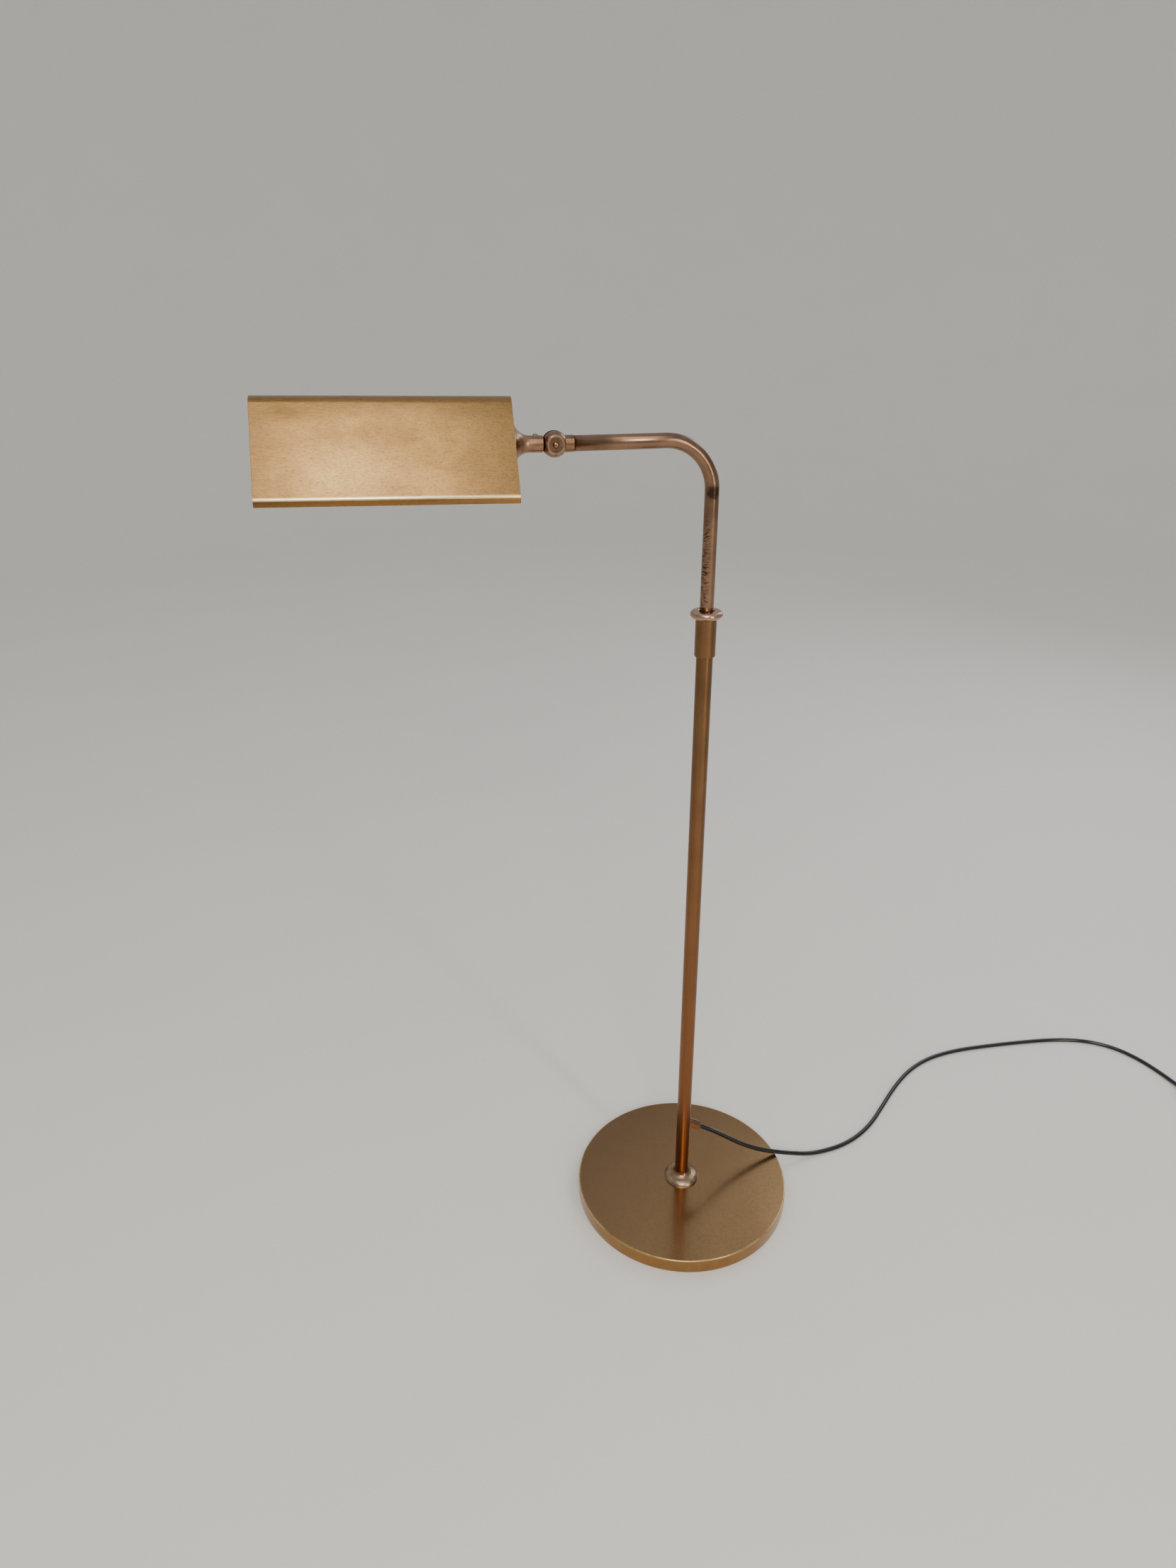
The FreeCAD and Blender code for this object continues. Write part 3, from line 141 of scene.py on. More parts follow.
run.order_u = 3
run.use_endpoint_u = True
mains_cord = bpy.data.objects.new("mains_cord", flex)
bpy.context.collection.objects.link(mains_cord)
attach(mains_cord, "stand")
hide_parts("cord_from_gland", "cord_to_coil", "cord_coil", "cord_to_plug")


# Cord switch, plug and tie: moulded black plastic with a fine spark-eroded grain, matt on the flats.
# The two shells are screwed together from below; the tie is a rubber band round the coil.
def linear(code):
    """An sRGB hex colour in the linear values that shaders use."""
    parts = [int(code[k : k + 2], 16) / 255 for k in (1, 3, 5)]
    return (*[c / 12.92 if c < 0.04045 else ((c + 0.055) / 1.055) ** 2.4 for c in parts], 1)


def add(finish, kind, inputs=(), **settings):
    """Adds a node with its settings; each input is a value or another node's output."""
    node = finish.node_tree.nodes.new(kind)
    for name, value in settings.items():
        setattr(node, name, value)
    for socket, value in dict(inputs).items():
        if isinstance(value, bpy.types.NodeSocket):
            finish.node_tree.links.new(value, node.inputs[socket])
        else:
            node.inputs[socket].default_value = value
    return node


def coated(name, **values):
    """A material with these values on its principled shader's own sockets."""
    finish = bpy.data.materials.new(name)
    finish.use_nodes = True
    shader = finish.node_tree.nodes["Principled BSDF"]
    for socket, value in values.items():
        shader.inputs[socket.replace("_", " ")].default_value = value
    return finish


def wire(finish, **links):
    """Links nodes' outputs to the principled shader."""
    shader = finish.node_tree.nodes["Principled BSDF"]
    for socket, output in links.items():
        finish.node_tree.links.new(output, shader.inputs[socket.replace("_", " ")])


def made(name, shape, body, finish, *nodes, slot, place=Matrix(), crisp=30, outward=True):
    """Turns a finished bmesh, drawn in mm, into a piece in its place that stands for its CAD nodes."""
    bmesh.ops.remove_doubles(shape, verts=shape.verts, dist=0.002)
    if outward:  # a CAD mesh points the right way already
        bmesh.ops.recalc_face_normals(shape, faces=shape.faces)
    shape.transform(place @ Matrix.Scale(0.001, 4))
    mesh = bpy.data.meshes.new(name)
    shape.to_mesh(mesh)
    shape.free()
    mesh.polygons.foreach_set("use_smooth", [True] * len(mesh.polygons))
    mesh.set_sharp_from_angle(angle=math.radians(crisp))
    mesh.materials.append(finish)
    piece = bpy.data.objects.new(name, mesh)
    bpy.context.collection.objects.link(piece)
    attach(piece, body)
    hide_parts(*nodes)
    return piece


def evened(piece):
    """Lets a piece's large faces lead its shading, so that flats stay flat beside their roundings."""
    even = piece.modifiers.new("even_shading", "WEIGHTED_NORMAL")
    even.mode = "FACE_AREA"
    even.keep_sharp = True
    return piece


def softened(piece, radius, angle=40):
    """Rounds a piece's sharp edges to this radius in mm."""
    edge = piece.modifiers.new("softened_edges", "BEVEL")
    edge.width = radius / 1000
    edge.segments = 3
    edge.limit_method = "ANGLE"
    edge.angle_limit = math.radians(angle)
    return piece


def welded(node, body, finish, slot, crisp=28, edge=0.3):
    """A CAD node's mesh, welded, smoothed and rounded at its edges, as a piece that stands for it."""
    shape = bmesh.new()
    shape.from_mesh(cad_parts[node].data)
    bmesh.ops.scale(shape, vec=(1000, 1000, 1000), verts=shape.verts)
    bmesh.ops.remove_doubles(shape, verts=shape.verts, dist=0.002)
    bmesh.ops.dissolve_limit(shape, angle_limit=math.radians(0.01), verts=shape.verts,
                             edges=shape.edges)
    piece = made(node + "_fine", shape, body, finish, node, slot=slot, crisp=crisp, outward=False)
    return evened(softened(piece, edge, crisp + 7))


def finished(node, finish):
    """Gives a CAD node its material."""
    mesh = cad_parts[node].data
    mesh.materials.clear()
    mesh.materials.append(finish)


# Moulded black plastic: the mould's spark-eroded grain, about 0.4 mm, breaks the light into a soft grey
# sheen, and handling leaves the sheen uneven
moulded = coated("moulded_black_plastic", Base_Color=linear("#17171A"), IOR=1.5)
place = add(moulded, "ShaderNodeTexCoord").outputs["Object"]
grain = add(moulded, "ShaderNodeTexNoise", {"Vector": place, "Scale": 2500, "Detail": 2})
worn = add(moulded, "ShaderNodeTexNoise", {"Vector": place, "Scale": 60, "Detail": 3})
gloss = add(moulded, "ShaderNodeMapRange", {0: worn.outputs[0], 1: 0.3, 2: 0.7, 3: 0.36, 4: 0.5})
relief = add(moulded, "ShaderNodeBump", {"Strength": 0.3, "Distance": 0.0001, "Height": grain.outputs[0]})
wire(moulded, Roughness=gloss.outputs[0], Normal=relief.outputs[0])

# Extruded black PVC: nearly smooth, so it carries one thin bright line along its top, which wavers with
# the sheath's 10 mm unevenness and dulls where dust clings
pvc = coated("black_pvc_sheath", Base_Color=linear("#0C0C0F"), IOR=1.53)
place = add(pvc, "ShaderNodeTexCoord").outputs["Object"]
waves = add(pvc, "ShaderNodeTexNoise", {"Vector": place, "Scale": 90, "Detail": 2})
dust = add(pvc, "ShaderNodeTexNoise", {"Vector": place, "Scale": 700, "Detail": 5})
gloss = add(pvc, "ShaderNodeMapRange", {0: dust.outputs[0], 1: 0.35, 2: 0.7, 3: 0.12, 4: 0.24})
relief = add(pvc, "ShaderNodeBump", {"Strength": 0.08, "Distance": 0.0004, "Height": waves.outputs[0]})
wire(pvc, Roughness=gloss.outputs[0], Normal=relief.outputs[0])
flex.materials.append(pvc)

# Vulcanised rubber: matt charcoal with a patchy grey bloom, and hardly a highlight
rubber = coated("black_rubber", Base_Color=linear("#1B1A19"), IOR=1.52)
place = add(rubber, "ShaderNodeTexCoord").outputs["Object"]
bloom = add(rubber, "ShaderNodeTexNoise", {"Vector": place, "Scale": 400, "Detail": 4})
dull = add(rubber, "ShaderNodeMapRange", {0: bloom.outputs[0], 1: 0.3, 2: 0.7, 3: 0.62, 4: 0.88})
wire(rubber, Roughness=dull.outputs[0])

# Zinc plated steel: cool pale grey in crystals of about 1 mm, each a little lighter or bluer
zinc = coated("zinc_plated_steel", Metallic=1)
place = add(zinc, "ShaderNodeTexCoord").outputs["Object"]
spangle = add(zinc, "ShaderNodeTexVoronoi", {"Vector": place, "Scale": 900})
tint = add(zinc, "ShaderNodeMix",
           {0: spangle.outputs[0], 6: linear("#B4B1A6"), 7: linear("#8F9092")}, data_type="RGBA")
cloud = add(zinc, "ShaderNodeTexNoise", {"Vector": place, "Scale": 250, "Detail": 3})
gloss = add(zinc, "ShaderNodeMapRange", {0: cloud.outputs[0], 1: 0.3, 2: 0.7, 3: 0.28, 4: 0.5})
wire(zinc, Base_Color=tint.outputs[2], Roughness=gloss.outputs[0])

shells = ("switch_base", "switch_cover")
on_cord = [welded(node, "stand", moulded, "switch", edge=0.9) for node in shells]
on_cord.append(welded("switch_rocker", "rocker", moulded, "switch", edge=0.5))
on_cord.append(welded("plug_body", "stand", moulded, "switch", edge=0.8))
finished("cord_tie", rubber)
on_cord.append(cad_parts["cord_tie"])
for node in ("switch_pin", "switch_screws", "switch_contacts"):
    finished(node, zinc)
    on_cord.append(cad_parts[node])
# Nickel plated brass: a warm silver that is nearly a mirror, a little duller where sockets rub it
nickel = coated("nickel_plated_brass", Base_Color=linear("#C9C2AE"), Metallic=1)
place = add(nickel, "ShaderNodeTexCoord").outputs["Object"]
rubbed = add(nickel, "ShaderNodeTexNoise", {"Vector": place, "Scale": 600, "Detail": 3})
gloss = add(nickel, "ShaderNodeMapRange", {0: rubbed.outputs[0], 1: 0.3, 2: 0.7, 3: 0.16, 4: 0.34})
wire(nickel, Roughness=gloss.outputs[0])
finished("plug_pins", nickel)
on_cord.append(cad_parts["plug_pins"])


# Base: a disc spun from brass sheet over a cast iron weight, patinated brown and lacquered, with wear and
# a painted highlight round the rim. A felt pad is glued underneath and one long nut ties the column down.
def turned(*profile, steps=160):
    """A bmesh turned about Z from a closed section of (radius, height) corners in mm. A corner may add
    the length of the rounding on it and the steps of that arc."""
    shape = bmesh.new()
    corners = [shape.verts.new((corner[0], 0, corner[1])) for corner in profile]
    for pair in zip(corners, corners[1:] + corners[:1]):
        shape.edges.new(pair)
    for vert, corner in zip(corners, profile):
        if len(corner) > 2:
            bmesh.ops.bevel(shape, geom=[vert], offset=corner[2], offset_type="OFFSET",
                            affect="VERTICES", segments=corner[3] if len(corner) > 3 else 5,
                            profile=0.5, material=-1)
    bmesh.ops.spin(shape, geom=[*shape.verts, *shape.edges], cent=(0, 0, 0), axis=(0, 0, 1),
                   dvec=(0, 0, 0), angle=math.tau, steps=steps, use_merge=True, use_duplicate=False)
    return shape


BASE_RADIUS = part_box("base_cover")[1].x * 1000
BASE_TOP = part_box("base_cover")[1].z * 1000
BASE_WALL = 1.5
STUD_HOLE = 5.3
# Patinated brass under lacquer: an olive brown that mirrors the column softly, peppered with darker
# spots of about 2 mm and hazed in patches the size of a hand
patina = coated("patinated_brass_disc", Metallic=1, Coat_Weight=0.3, Coat_Roughness=0.08)
place = add(patina, "ShaderNodeTexCoord").outputs["Object"]
parts = add(patina, "ShaderNodeSeparateXYZ", {0: place})
flat = add(patina, "ShaderNodeCombineXYZ", {0: parts.outputs[0], 1: parts.outputs[1]})
radius = add(patina, "ShaderNodeVectorMath", {0: flat.outputs[0]}, operation="LENGTH")
haze = add(patina, "ShaderNodeTexNoise", {"Vector": place, "Scale": 14, "Detail": 5})
fine = add(patina, "ShaderNodeTexNoise", {"Vector": place, "Scale": 420, "Detail": 4})
brown = add(patina, "ShaderNodeMix",
            {0: haze.outputs[0], 6: linear("#92714B"), 7: linear("#A07E55")}, data_type="RGBA")
# painted shade: browner behind and to the left
towards_back_left = add(patina, "ShaderNodeVectorMath", {0: place, 1: (-0.6, 0.8, 0)}, operation="DOT_PRODUCT")
painted_shade = add(patina, "ShaderNodeMapRange",
             {0: towards_back_left.outputs["Value"], 1: -0.07, 2: 0.1, 3: 0, 4: 0.8})
brown = add(patina, "ShaderNodeMix",
            {0: painted_shade.outputs[0], 6: brown.outputs[2], 7: linear("#76583C")}, data_type="RGBA")
mottle = add(patina, "ShaderNodeMapRange", {0: fine.outputs[0], 1: 0.45, 2: 0.75, 3: 0, 4: 0.35})
dim = add(patina, "ShaderNodeMix", {0: mottle.outputs[0], 6: brown.outputs[2], 7: linear("#6C5236")},
          data_type="RGBA")
# the upright side is a warmer, lighter gold than the top, with nicks along it
side = add(patina, "ShaderNodeMapRange",
           {0: radius.outputs["Value"], 1: 0.1236, 2: 0.1242, 3: 0, 4: 1})
nicks = add(patina, "ShaderNodeTexNoise", {"Vector": place, "Scale": 55, "Detail": 8, "Roughness": 0.7})
worn = add(patina, "ShaderNodeMix", {0: nicks.outputs[0], 6: linear("#AC8046"), 7: linear("#7E5C34")},
           data_type="RGBA")
sided = add(patina, "ShaderNodeMix", {0: side.outputs[0], 6: dim.outputs[2], 7: worn.outputs[2]},
            data_type="RGBA")
# a painted highlight on the corner between them, partly wear where polish has cut through to bright brass
high = add(patina, "ShaderNodeMapRange", {0: parts.outputs[2], 1: BASE_TOP / 1000 - 0.0016,
                                           2: BASE_TOP / 1000 - 0.0006, 3: 0, 4: 1})
out = add(patina, "ShaderNodeMapRange",
          {0: radius.outputs["Value"], 1: 0.1226, 2: 0.1239, 3: 0, 4: 1})
corner = add(patina, "ShaderNodeMath", {0: high.outputs[0], 1: out.outputs[0]}, operation="MULTIPLY")
ragged = add(patina, "ShaderNodeMapRange", {0: nicks.outputs[0], 1: 0.35, 2: 0.55, 3: 0.1, 4: 0.7})
rim = add(patina, "ShaderNodeMath", {0: corner.outputs[0], 1: ragged.outputs[0]}, operation="MULTIPLY")
colour = add(patina, "ShaderNodeMix", {0: rim.outputs[0], 6: sided.outputs[2], 7: linear("#DDBE82")},
             data_type="RGBA")
gloss = add(patina, "ShaderNodeMapRange", {0: haze.outputs[0], 1: 0.3, 2: 0.7, 3: 0.2, 4: 0.28})
relief = add(patina, "ShaderNodeBump",
             {"Strength": 0.08, "Distance": 0.0003, "Height": nicks.outputs[0]})
wire(patina, Base_Color=colour.outputs[2], Roughness=gloss.outputs[0], Normal=relief.outputs[0])
disc = turned((BASE_RADIUS - BASE_WALL, 0.5, 0.3), (BASE_RADIUS, 0.5, 0.5),
              (BASE_RADIUS, BASE_TOP, 1.1, 8), (STUD_HOLE, BASE_TOP), (STUD_HOLE, BASE_TOP - BASE_WALL),
              (BASE_RADIUS - BASE_WALL, BASE_TOP - BASE_WALL), steps=256)
made("base_disc", disc, "stand", patina, "base_cover", slot="base")

# Pressed wool felt: green-black, quite matt, with matted fibres and a soft sheen at its edge
felt = coated("green_black_felt", Roughness=0.95, Sheen_Weight=0.6, Sheen_Roughness=0.5)
place = add(felt, "ShaderNodeTexCoord").outputs["Object"]
fibres = add(felt, "ShaderNodeTexNoise",
             {"Vector": place, "Scale": 1200, "Detail": 5, "Distortion": 1.5})
tone = add(felt, "ShaderNodeMix",
           {0: fibres.outputs[0], 6: linear("#151B16"), 7: linear("#2E3A30")}, data_type="RGBA")
relief = add(felt, "ShaderNodeBump",
             {"Strength": 0.6, "Distance": 0.0005, "Height": fibres.outputs[0]})
wire(felt, Base_Color=tone.outputs[2], Normal=relief.outputs[0])
PAD_RADIUS, PAD_THICK = BASE_RADIUS - 1.8, 2.5
pad = turned((0, 0), (PAD_RADIUS, 0, 0.4), (PAD_RADIUS, PAD_THICK), (0, PAD_THICK), steps=192)
made("felt_pad", pad, "stand", felt, "base_pad", slot="felt")

# Sand-cast iron: dark grey, rough from the sand's 1 mm grains
iron = coated("cast_iron", Base_Color=linear("#3A3836"), Metallic=1, Roughness=0.7)
place = add(iron, "ShaderNodeTexCoord").outputs["Object"]
sand = add(iron, "ShaderNodeTexNoise", {"Vector": place, "Scale": 900, "Detail": 6})
relief = add(iron, "ShaderNodeBump", {"Strength": 0.7, "Distance": 0.0004, "Height": sand.outputs[0]})
wire(iron, Normal=relief.outputs[0])
finished("base_weight", iron)
for node in ("base_washer", "base_nut", "base_stay", "column_plug"):
    finished(node, zinc)

# Foot: a turned brass bell over a thin ring, where the column meets the disc. Years of polishing have
# left it paler than the rest, with brown in its hollow.
# Turned brass rubbed bare: pale pinkish straw where it stands out, smeared duller by polish left on it
foot = coated("worn_turned_brass", Metallic=1)
place = add(foot, "ShaderNodeTexCoord").outputs["Object"]
parts = add(foot, "ShaderNodeSeparateXYZ", {0: place})
smears = add(foot, "ShaderNodeTexNoise", {"Vector": place, "Scale": 90, "Detail": 5})
rubbed = add(foot, "ShaderNodeMapRange", {0: smears.outputs[0], 1: 0.35, 2: 0.65, 3: 0, 4: 1})
colour = add(foot, "ShaderNodeMix", {0: rubbed.outputs[0], 6: linear("#7E6853"), 7: linear("#AC957B")},
             data_type="RGBA")
# the hollow over the bell, from 22 to 28 mm up, has stayed brown
hollow = add(foot, "ShaderNodeMapRange", {0: parts.outputs[2], 1: 0.0225, 2: 0.0275, 3: 0, 4: 0.7})
colour = add(foot, "ShaderNodeMix", {0: hollow.outputs[0], 6: colour.outputs[2], 7: linear("#805A3C")},
             data_type="RGBA")
# lathe marks, 0.3 mm apart, drawn at 1.2 mm so that they show
lathe = add(foot, "ShaderNodeTexWave", {"Vector": place, "Scale": 260, "Distortion": 0.6, "Detail": 1},
            bands_direction="Z")
relief = add(foot, "ShaderNodeBump",
             {"Strength": 0.06, "Distance": 0.0002, "Height": lathe.outputs["Fac"]})
gloss = add(foot, "ShaderNodeMapRange", {0: smears.outputs[0], 1: 0.3, 2: 0.7, 3: 0.2, 4: 0.4})
wire(foot, Base_Color=colour.outputs[2], Roughness=gloss.outputs[0], Normal=relief.outputs[0])
finished("foot_ring", foot)
finished("foot_collar", foot)

# Column: a drawn 16 mm brass tube, browned and lacquered. It stands in the foot and its wall of 1 mm
# leaves the room in which the arm's tube slides.
# Browned drawn brass: draw lines along it pull each highlight into a long streak. They are finer than
# 1 mm and drawn at 1 mm so that they show. Golden brown at the top, with a painted orange reflection of a
# warm floor towards the foot.
column = coated("browned_drawn_brass", Metallic=1, Coat_Weight=0.12, Coat_Roughness=0.1)
place = add(column, "ShaderNodeTexCoord").outputs["Object"]
drawn = add(column, "ShaderNodeMapping", {"Vector": place, "Scale": (900, 900, 6)})
lines = add(column, "ShaderNodeTexNoise", {"Vector": drawn.outputs[0], "Scale": 1, "Detail": 3})
cloud = add(column, "ShaderNodeTexNoise", {"Vector": place, "Scale": 22, "Detail": 5})
mix = add(column, "ShaderNodeMapRange", {0: cloud.outputs[0], 1: 0.3, 2: 0.7, 3: 0, 4: 1})
colour = add(column, "ShaderNodeMix", {0: mix.outputs[0], 6: linear("#6E5137"), 7: linear("#836140")},
             data_type="RGBA")
parts = add(column, "ShaderNodeSeparateXYZ", {0: place})
# painted reflection: deeper orange towards the foot, as a warm floor would reflect there
low = add(column, "ShaderNodeMapRange", {0: parts.outputs[2], 1: 0.6, 2: 0.15, 3: 0, 4: 0.8})
colour = add(column, "ShaderNodeMix", {0: low.outputs[0], 6: colour.outputs[2], 7: linear("#885533")},
             data_type="RGBA")
streak = add(column, "ShaderNodeMapRange", {0: lines.outputs[0], 1: 0.4, 2: 0.8, 3: 0, 4: 0.35})
colour = add(column, "ShaderNodeMix", {0: streak.outputs[0], 6: colour.outputs[2], 7: linear("#4C3420")},
             data_type="RGBA")
gloss = add(column, "ShaderNodeMapRange", {0: lines.outputs[0], 1: 0.3, 2: 0.7, 3: 0.27, 4: 0.38})
wire(column, Base_Color=colour.outputs[2], Roughness=gloss.outputs[0])
TUBE_FOOT, TUBE_TOP = (corner.z * 1000 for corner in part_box("outer_tube"))
TUBE_BORE, TUBE_RADIUS = 7, 8
tube = turned((TUBE_BORE, TUBE_FOOT), (TUBE_RADIUS, TUBE_FOOT), (TUBE_RADIUS, TUBE_TOP, 0.3),
              (TUBE_BORE, TUBE_TOP), steps=96)
made("column_tube", tube, "stand", column, "outer_tube", slot="column")

# Gland: a small hexagonal brass nipple screwed into the column low down. A rubber bush in it grips the
# cord and keeps it off the metal.
KNUCKLE = Vector((-0.14, 0, 0.873))  # where the ball's pin crosses the middle of the arm
# Rosy aged brass: castings and turned parts whose zinc has gone from the skin, so they shine pinkish
# brown in a broad soft highlight, with dark tarnish in spots of a few millimetres
rosy = coated("rosy_aged_brass", Metallic=1)
place = add(rosy, "ShaderNodeTexCoord").outputs["Object"]
cloud = add(rosy, "ShaderNodeTexNoise",
            {"Vector": place, "Scale": 38, "Detail": 6, "Roughness": 0.6})
mix = add(rosy, "ShaderNodeMapRange", {0: cloud.outputs[0], 1: 0.35, 2: 0.65, 3: 0, 4: 1})
colour = add(rosy, "ShaderNodeMix", {0: mix.outputs[0], 6: linear("#7E5E49"), 7: linear("#98775F")},
             data_type="RGBA")
tarnish = add(rosy, "ShaderNodeTexNoise", {"Vector": place, "Scale": 260, "Detail": 5})
dark = add(rosy, "ShaderNodeMapRange", {0: tarnish.outputs[0], 1: 0.52, 2: 0.72, 3: 0, 4: 0.45})
colour = add(rosy, "ShaderNodeMix", {0: dark.outputs[0], 6: colour.outputs[2], 7: linear("#4A3324")},
             data_type="RGBA")
# painted sheen: the lock ring is paler all over
parts = add(rosy, "ShaderNodeSeparateXYZ", {0: place})
low, high = (corner.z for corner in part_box("lock_ring"))
above = add(rosy, "ShaderNodeMapRange",
            {0: parts.outputs[2], 1: low - 0.0006, 2: low - 0.0004, 3: 0, 4: 1})
below = add(rosy, "ShaderNodeMapRange",
            {0: parts.outputs[2], 1: high + 0.0006, 2: high + 0.0004, 3: 0, 4: 0.55})
painted_sheen = add(rosy, "ShaderNodeMath", {0: above.outputs[0], 1: below.outputs[0]}, operation="MULTIPLY")
# and a painted highlight round the rim of the knuckle's two flats, a band 6 to 8 mm from its pin
sides = add(rosy, "ShaderNodeVectorMath", {0: place, 1: (1, 0, 1)}, operation="MULTIPLY")
reach = add(rosy, "ShaderNodeVectorMath", {0: sides.outputs[0], 1: KNUCKLE}, operation="DISTANCE")
inner = add(rosy, "ShaderNodeMapRange", {0: reach.outputs["Value"], 1: 0.0060, 2: 0.0067, 3: 0, 4: 1})
outer = add(rosy, "ShaderNodeMapRange", {0: reach.outputs["Value"], 1: 0.0088, 2: 0.0076, 3: 0, 4: 0.6})
flats = add(rosy, "ShaderNodeMath", {0: parts.outputs[1]}, operation="ABSOLUTE")
flats = add(rosy, "ShaderNodeMapRange", {0: flats.outputs[0], 1: 0.0066, 2: 0.0076, 3: 0, 4: 1})
painted_rim_highlight = add(rosy, "ShaderNodeMath", {0: inner.outputs[0], 1: outer.outputs[0]}, operation="MULTIPLY")
painted_rim_highlight = add(rosy, "ShaderNodeMath", {0: painted_rim_highlight.outputs[0], 1: flats.outputs[0]}, operation="MULTIPLY")
painted_sheen = add(rosy, "ShaderNodeMath", {0: painted_sheen.outputs[0], 1: painted_rim_highlight.outputs[0]}, operation="MAXIMUM")
colour = add(rosy, "ShaderNodeMix",
             {0: painted_sheen.outputs[0], 6: colour.outputs[2], 7: linear("#C2A48E")}, data_type="RGBA")
gloss = add(rosy, "ShaderNodeMapRange", {0: cloud.outputs[0], 1: 0.3, 2: 0.7, 3: 0.2, 4: 0.34})
relief = add(rosy, "ShaderNodeBump",
             {"Strength": 0.1, "Distance": 0.0002, "Height": tarnish.outputs[0]})
wire(rosy, Base_Color=colour.outputs[2], Roughness=gloss.outputs[0], Normal=relief.outputs[0])
welded("gland_body", "stand", rosy, "gland", edge=0.25)
finished("gland_bush", rubber)

# Clamp: a brass sleeve over the end of the column and a thick round-edged lock ring that squeezes a
# split nylon collet on the inner tube
finished("clamp_sleeve", column)
finished("lock_ring", rosy)
# Natural nylon: milky cream, waxy, with light going 2 mm into it
nylon = coated("natural_nylon", Roughness=0.5, Subsurface_Weight=0.2, Subsurface_Scale=0.002)
place = add(nylon, "ShaderNodeTexCoord").outputs["Object"]
cloud = add(nylon, "ShaderNodeTexNoise", {"Vector": place, "Scale": 300, "Detail": 3})
tone = add(nylon, "ShaderNodeMix", {0: cloud.outputs[0], 6: linear("#CFC5AC"), 7: linear("#E6E0D0")},
           data_type="RGBA")
wire(nylon, Base_Color=tone.outputs[2])
finished("clamp_collet", nylon)
finished("guide_bush", nylon)

# Arm: a 13 mm brass tube bent once over a former. It is rubbed to a rosy brown, with a black stain
# where the bend begins and black scuffs on the upright where it has slid in the collet.
# Rubbed tube brass: rosy brown with a long soft highlight. The scuffs are short black strokes across
# the tube, 2 to 3 mm high, and the stain has ragged edges.
arm_brass = coated("rubbed_tube_brass", Metallic=1)
place = add(arm_brass, "ShaderNodeTexCoord").outputs["Object"]
parts = add(arm_brass, "ShaderNodeSeparateXYZ", {0: place})
cloud = add(arm_brass, "ShaderNodeTexNoise",
            {"Vector": place, "Scale": 30, "Detail": 6, "Roughness": 0.6})
mix = add(arm_brass, "ShaderNodeMapRange", {0: cloud.outputs[0], 1: 0.35, 2: 0.65, 3: 0, 4: 1})
colour = add(arm_brass, "ShaderNodeMix", {0: mix.outputs[0], 6: linear("#775D4B"), 7: linear("#90715B")},
             data_type="RGBA")
# scuffs below the bend, on the side that faces the shade
scratch = add(arm_brass, "ShaderNodeMapping", {"Vector": place, "Scale": (130, 130, 420)})
scuffs = add(arm_brass, "ShaderNodeTexNoise",
             {"Vector": scratch.outputs[0], "Scale": 1, "Detail": 8, "Roughness": 0.75, "Distortion": 1.2})
scuffed = add(arm_brass, "ShaderNodeMapRange", {0: scuffs.outputs[0], 1: 0.5, 2: 0.56, 3: 0, 4: 0.9})
low = add(arm_brass, "ShaderNodeMapRange", {0: parts.outputs[2], 1: 0.815, 2: 0.79, 3: 0, 4: 1})
left = add(arm_brass, "ShaderNodeMapRange", {0: parts.outputs[0], 1: 0.0005, 2: -0.0035, 3: 0, 4: 1})
where = add(arm_brass, "ShaderNodeMath", {0: low.outputs[0], 1: left.outputs[0]}, operation="MULTIPLY")
marks = add(arm_brass, "ShaderNodeMath",
            {0: where.outputs[0], 1: scuffed.outputs[0]}, operation="MULTIPLY")
# one black stain where the bend begins
spot = add(arm_brass, "ShaderNodeVectorMath",
           {0: place, 1: (-0.0005, -0.0065, 0.829)}, operation="DISTANCE")
ragged = add(arm_brass, "ShaderNodeMath", {0: scuffs.outputs[0], 1: 0.010}, operation="MULTIPLY")
spread = add(arm_brass, "ShaderNodeMath",
             {0: spot.outputs["Value"], 1: ragged.outputs[0]}, operation="ADD")
stain = add(arm_brass, "ShaderNodeMapRange", {0: spread.outputs[0], 1: 0.0125, 2: 0.0095, 3: 0, 4: 0.8})
black = add(arm_brass, "ShaderNodeMath", {0: marks.outputs[0], 1: stain.outputs[0]}, operation="MAXIMUM")
colour = add(arm_brass, "ShaderNodeMix", {0: black.outputs[0], 6: colour.outputs[2], 7: linear("#2E211A")},
             data_type="RGBA")
gloss = add(arm_brass, "ShaderNodeMapRange", {0: cloud.outputs[0], 1: 0.3, 2: 0.7, 3: 0.2, 4: 0.32})
wire(arm_brass, Base_Color=colour.outputs[2], Roughness=gloss.outputs[0])
BEND = 43
ARM_HIGH = KNUCKLE.z * 1000
TUBE_END, TUBE_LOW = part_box("inner_tube")[0].x * 1000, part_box("inner_tube")[0].z * 1000


def drawn_on(shape, edges, by):
    """Draws the tube on by this vector and returns the edges at its new end."""
    grown = bmesh.ops.extrude_edge_only(shape, edges=edges)["geom"]
    verts = [v for v in grown if isinstance(v, bmesh.types.BMVert)]
    bmesh.ops.translate(shape, vec=by, verts=verts)
    return [e for e in grown if isinstance(e, bmesh.types.BMEdge)]


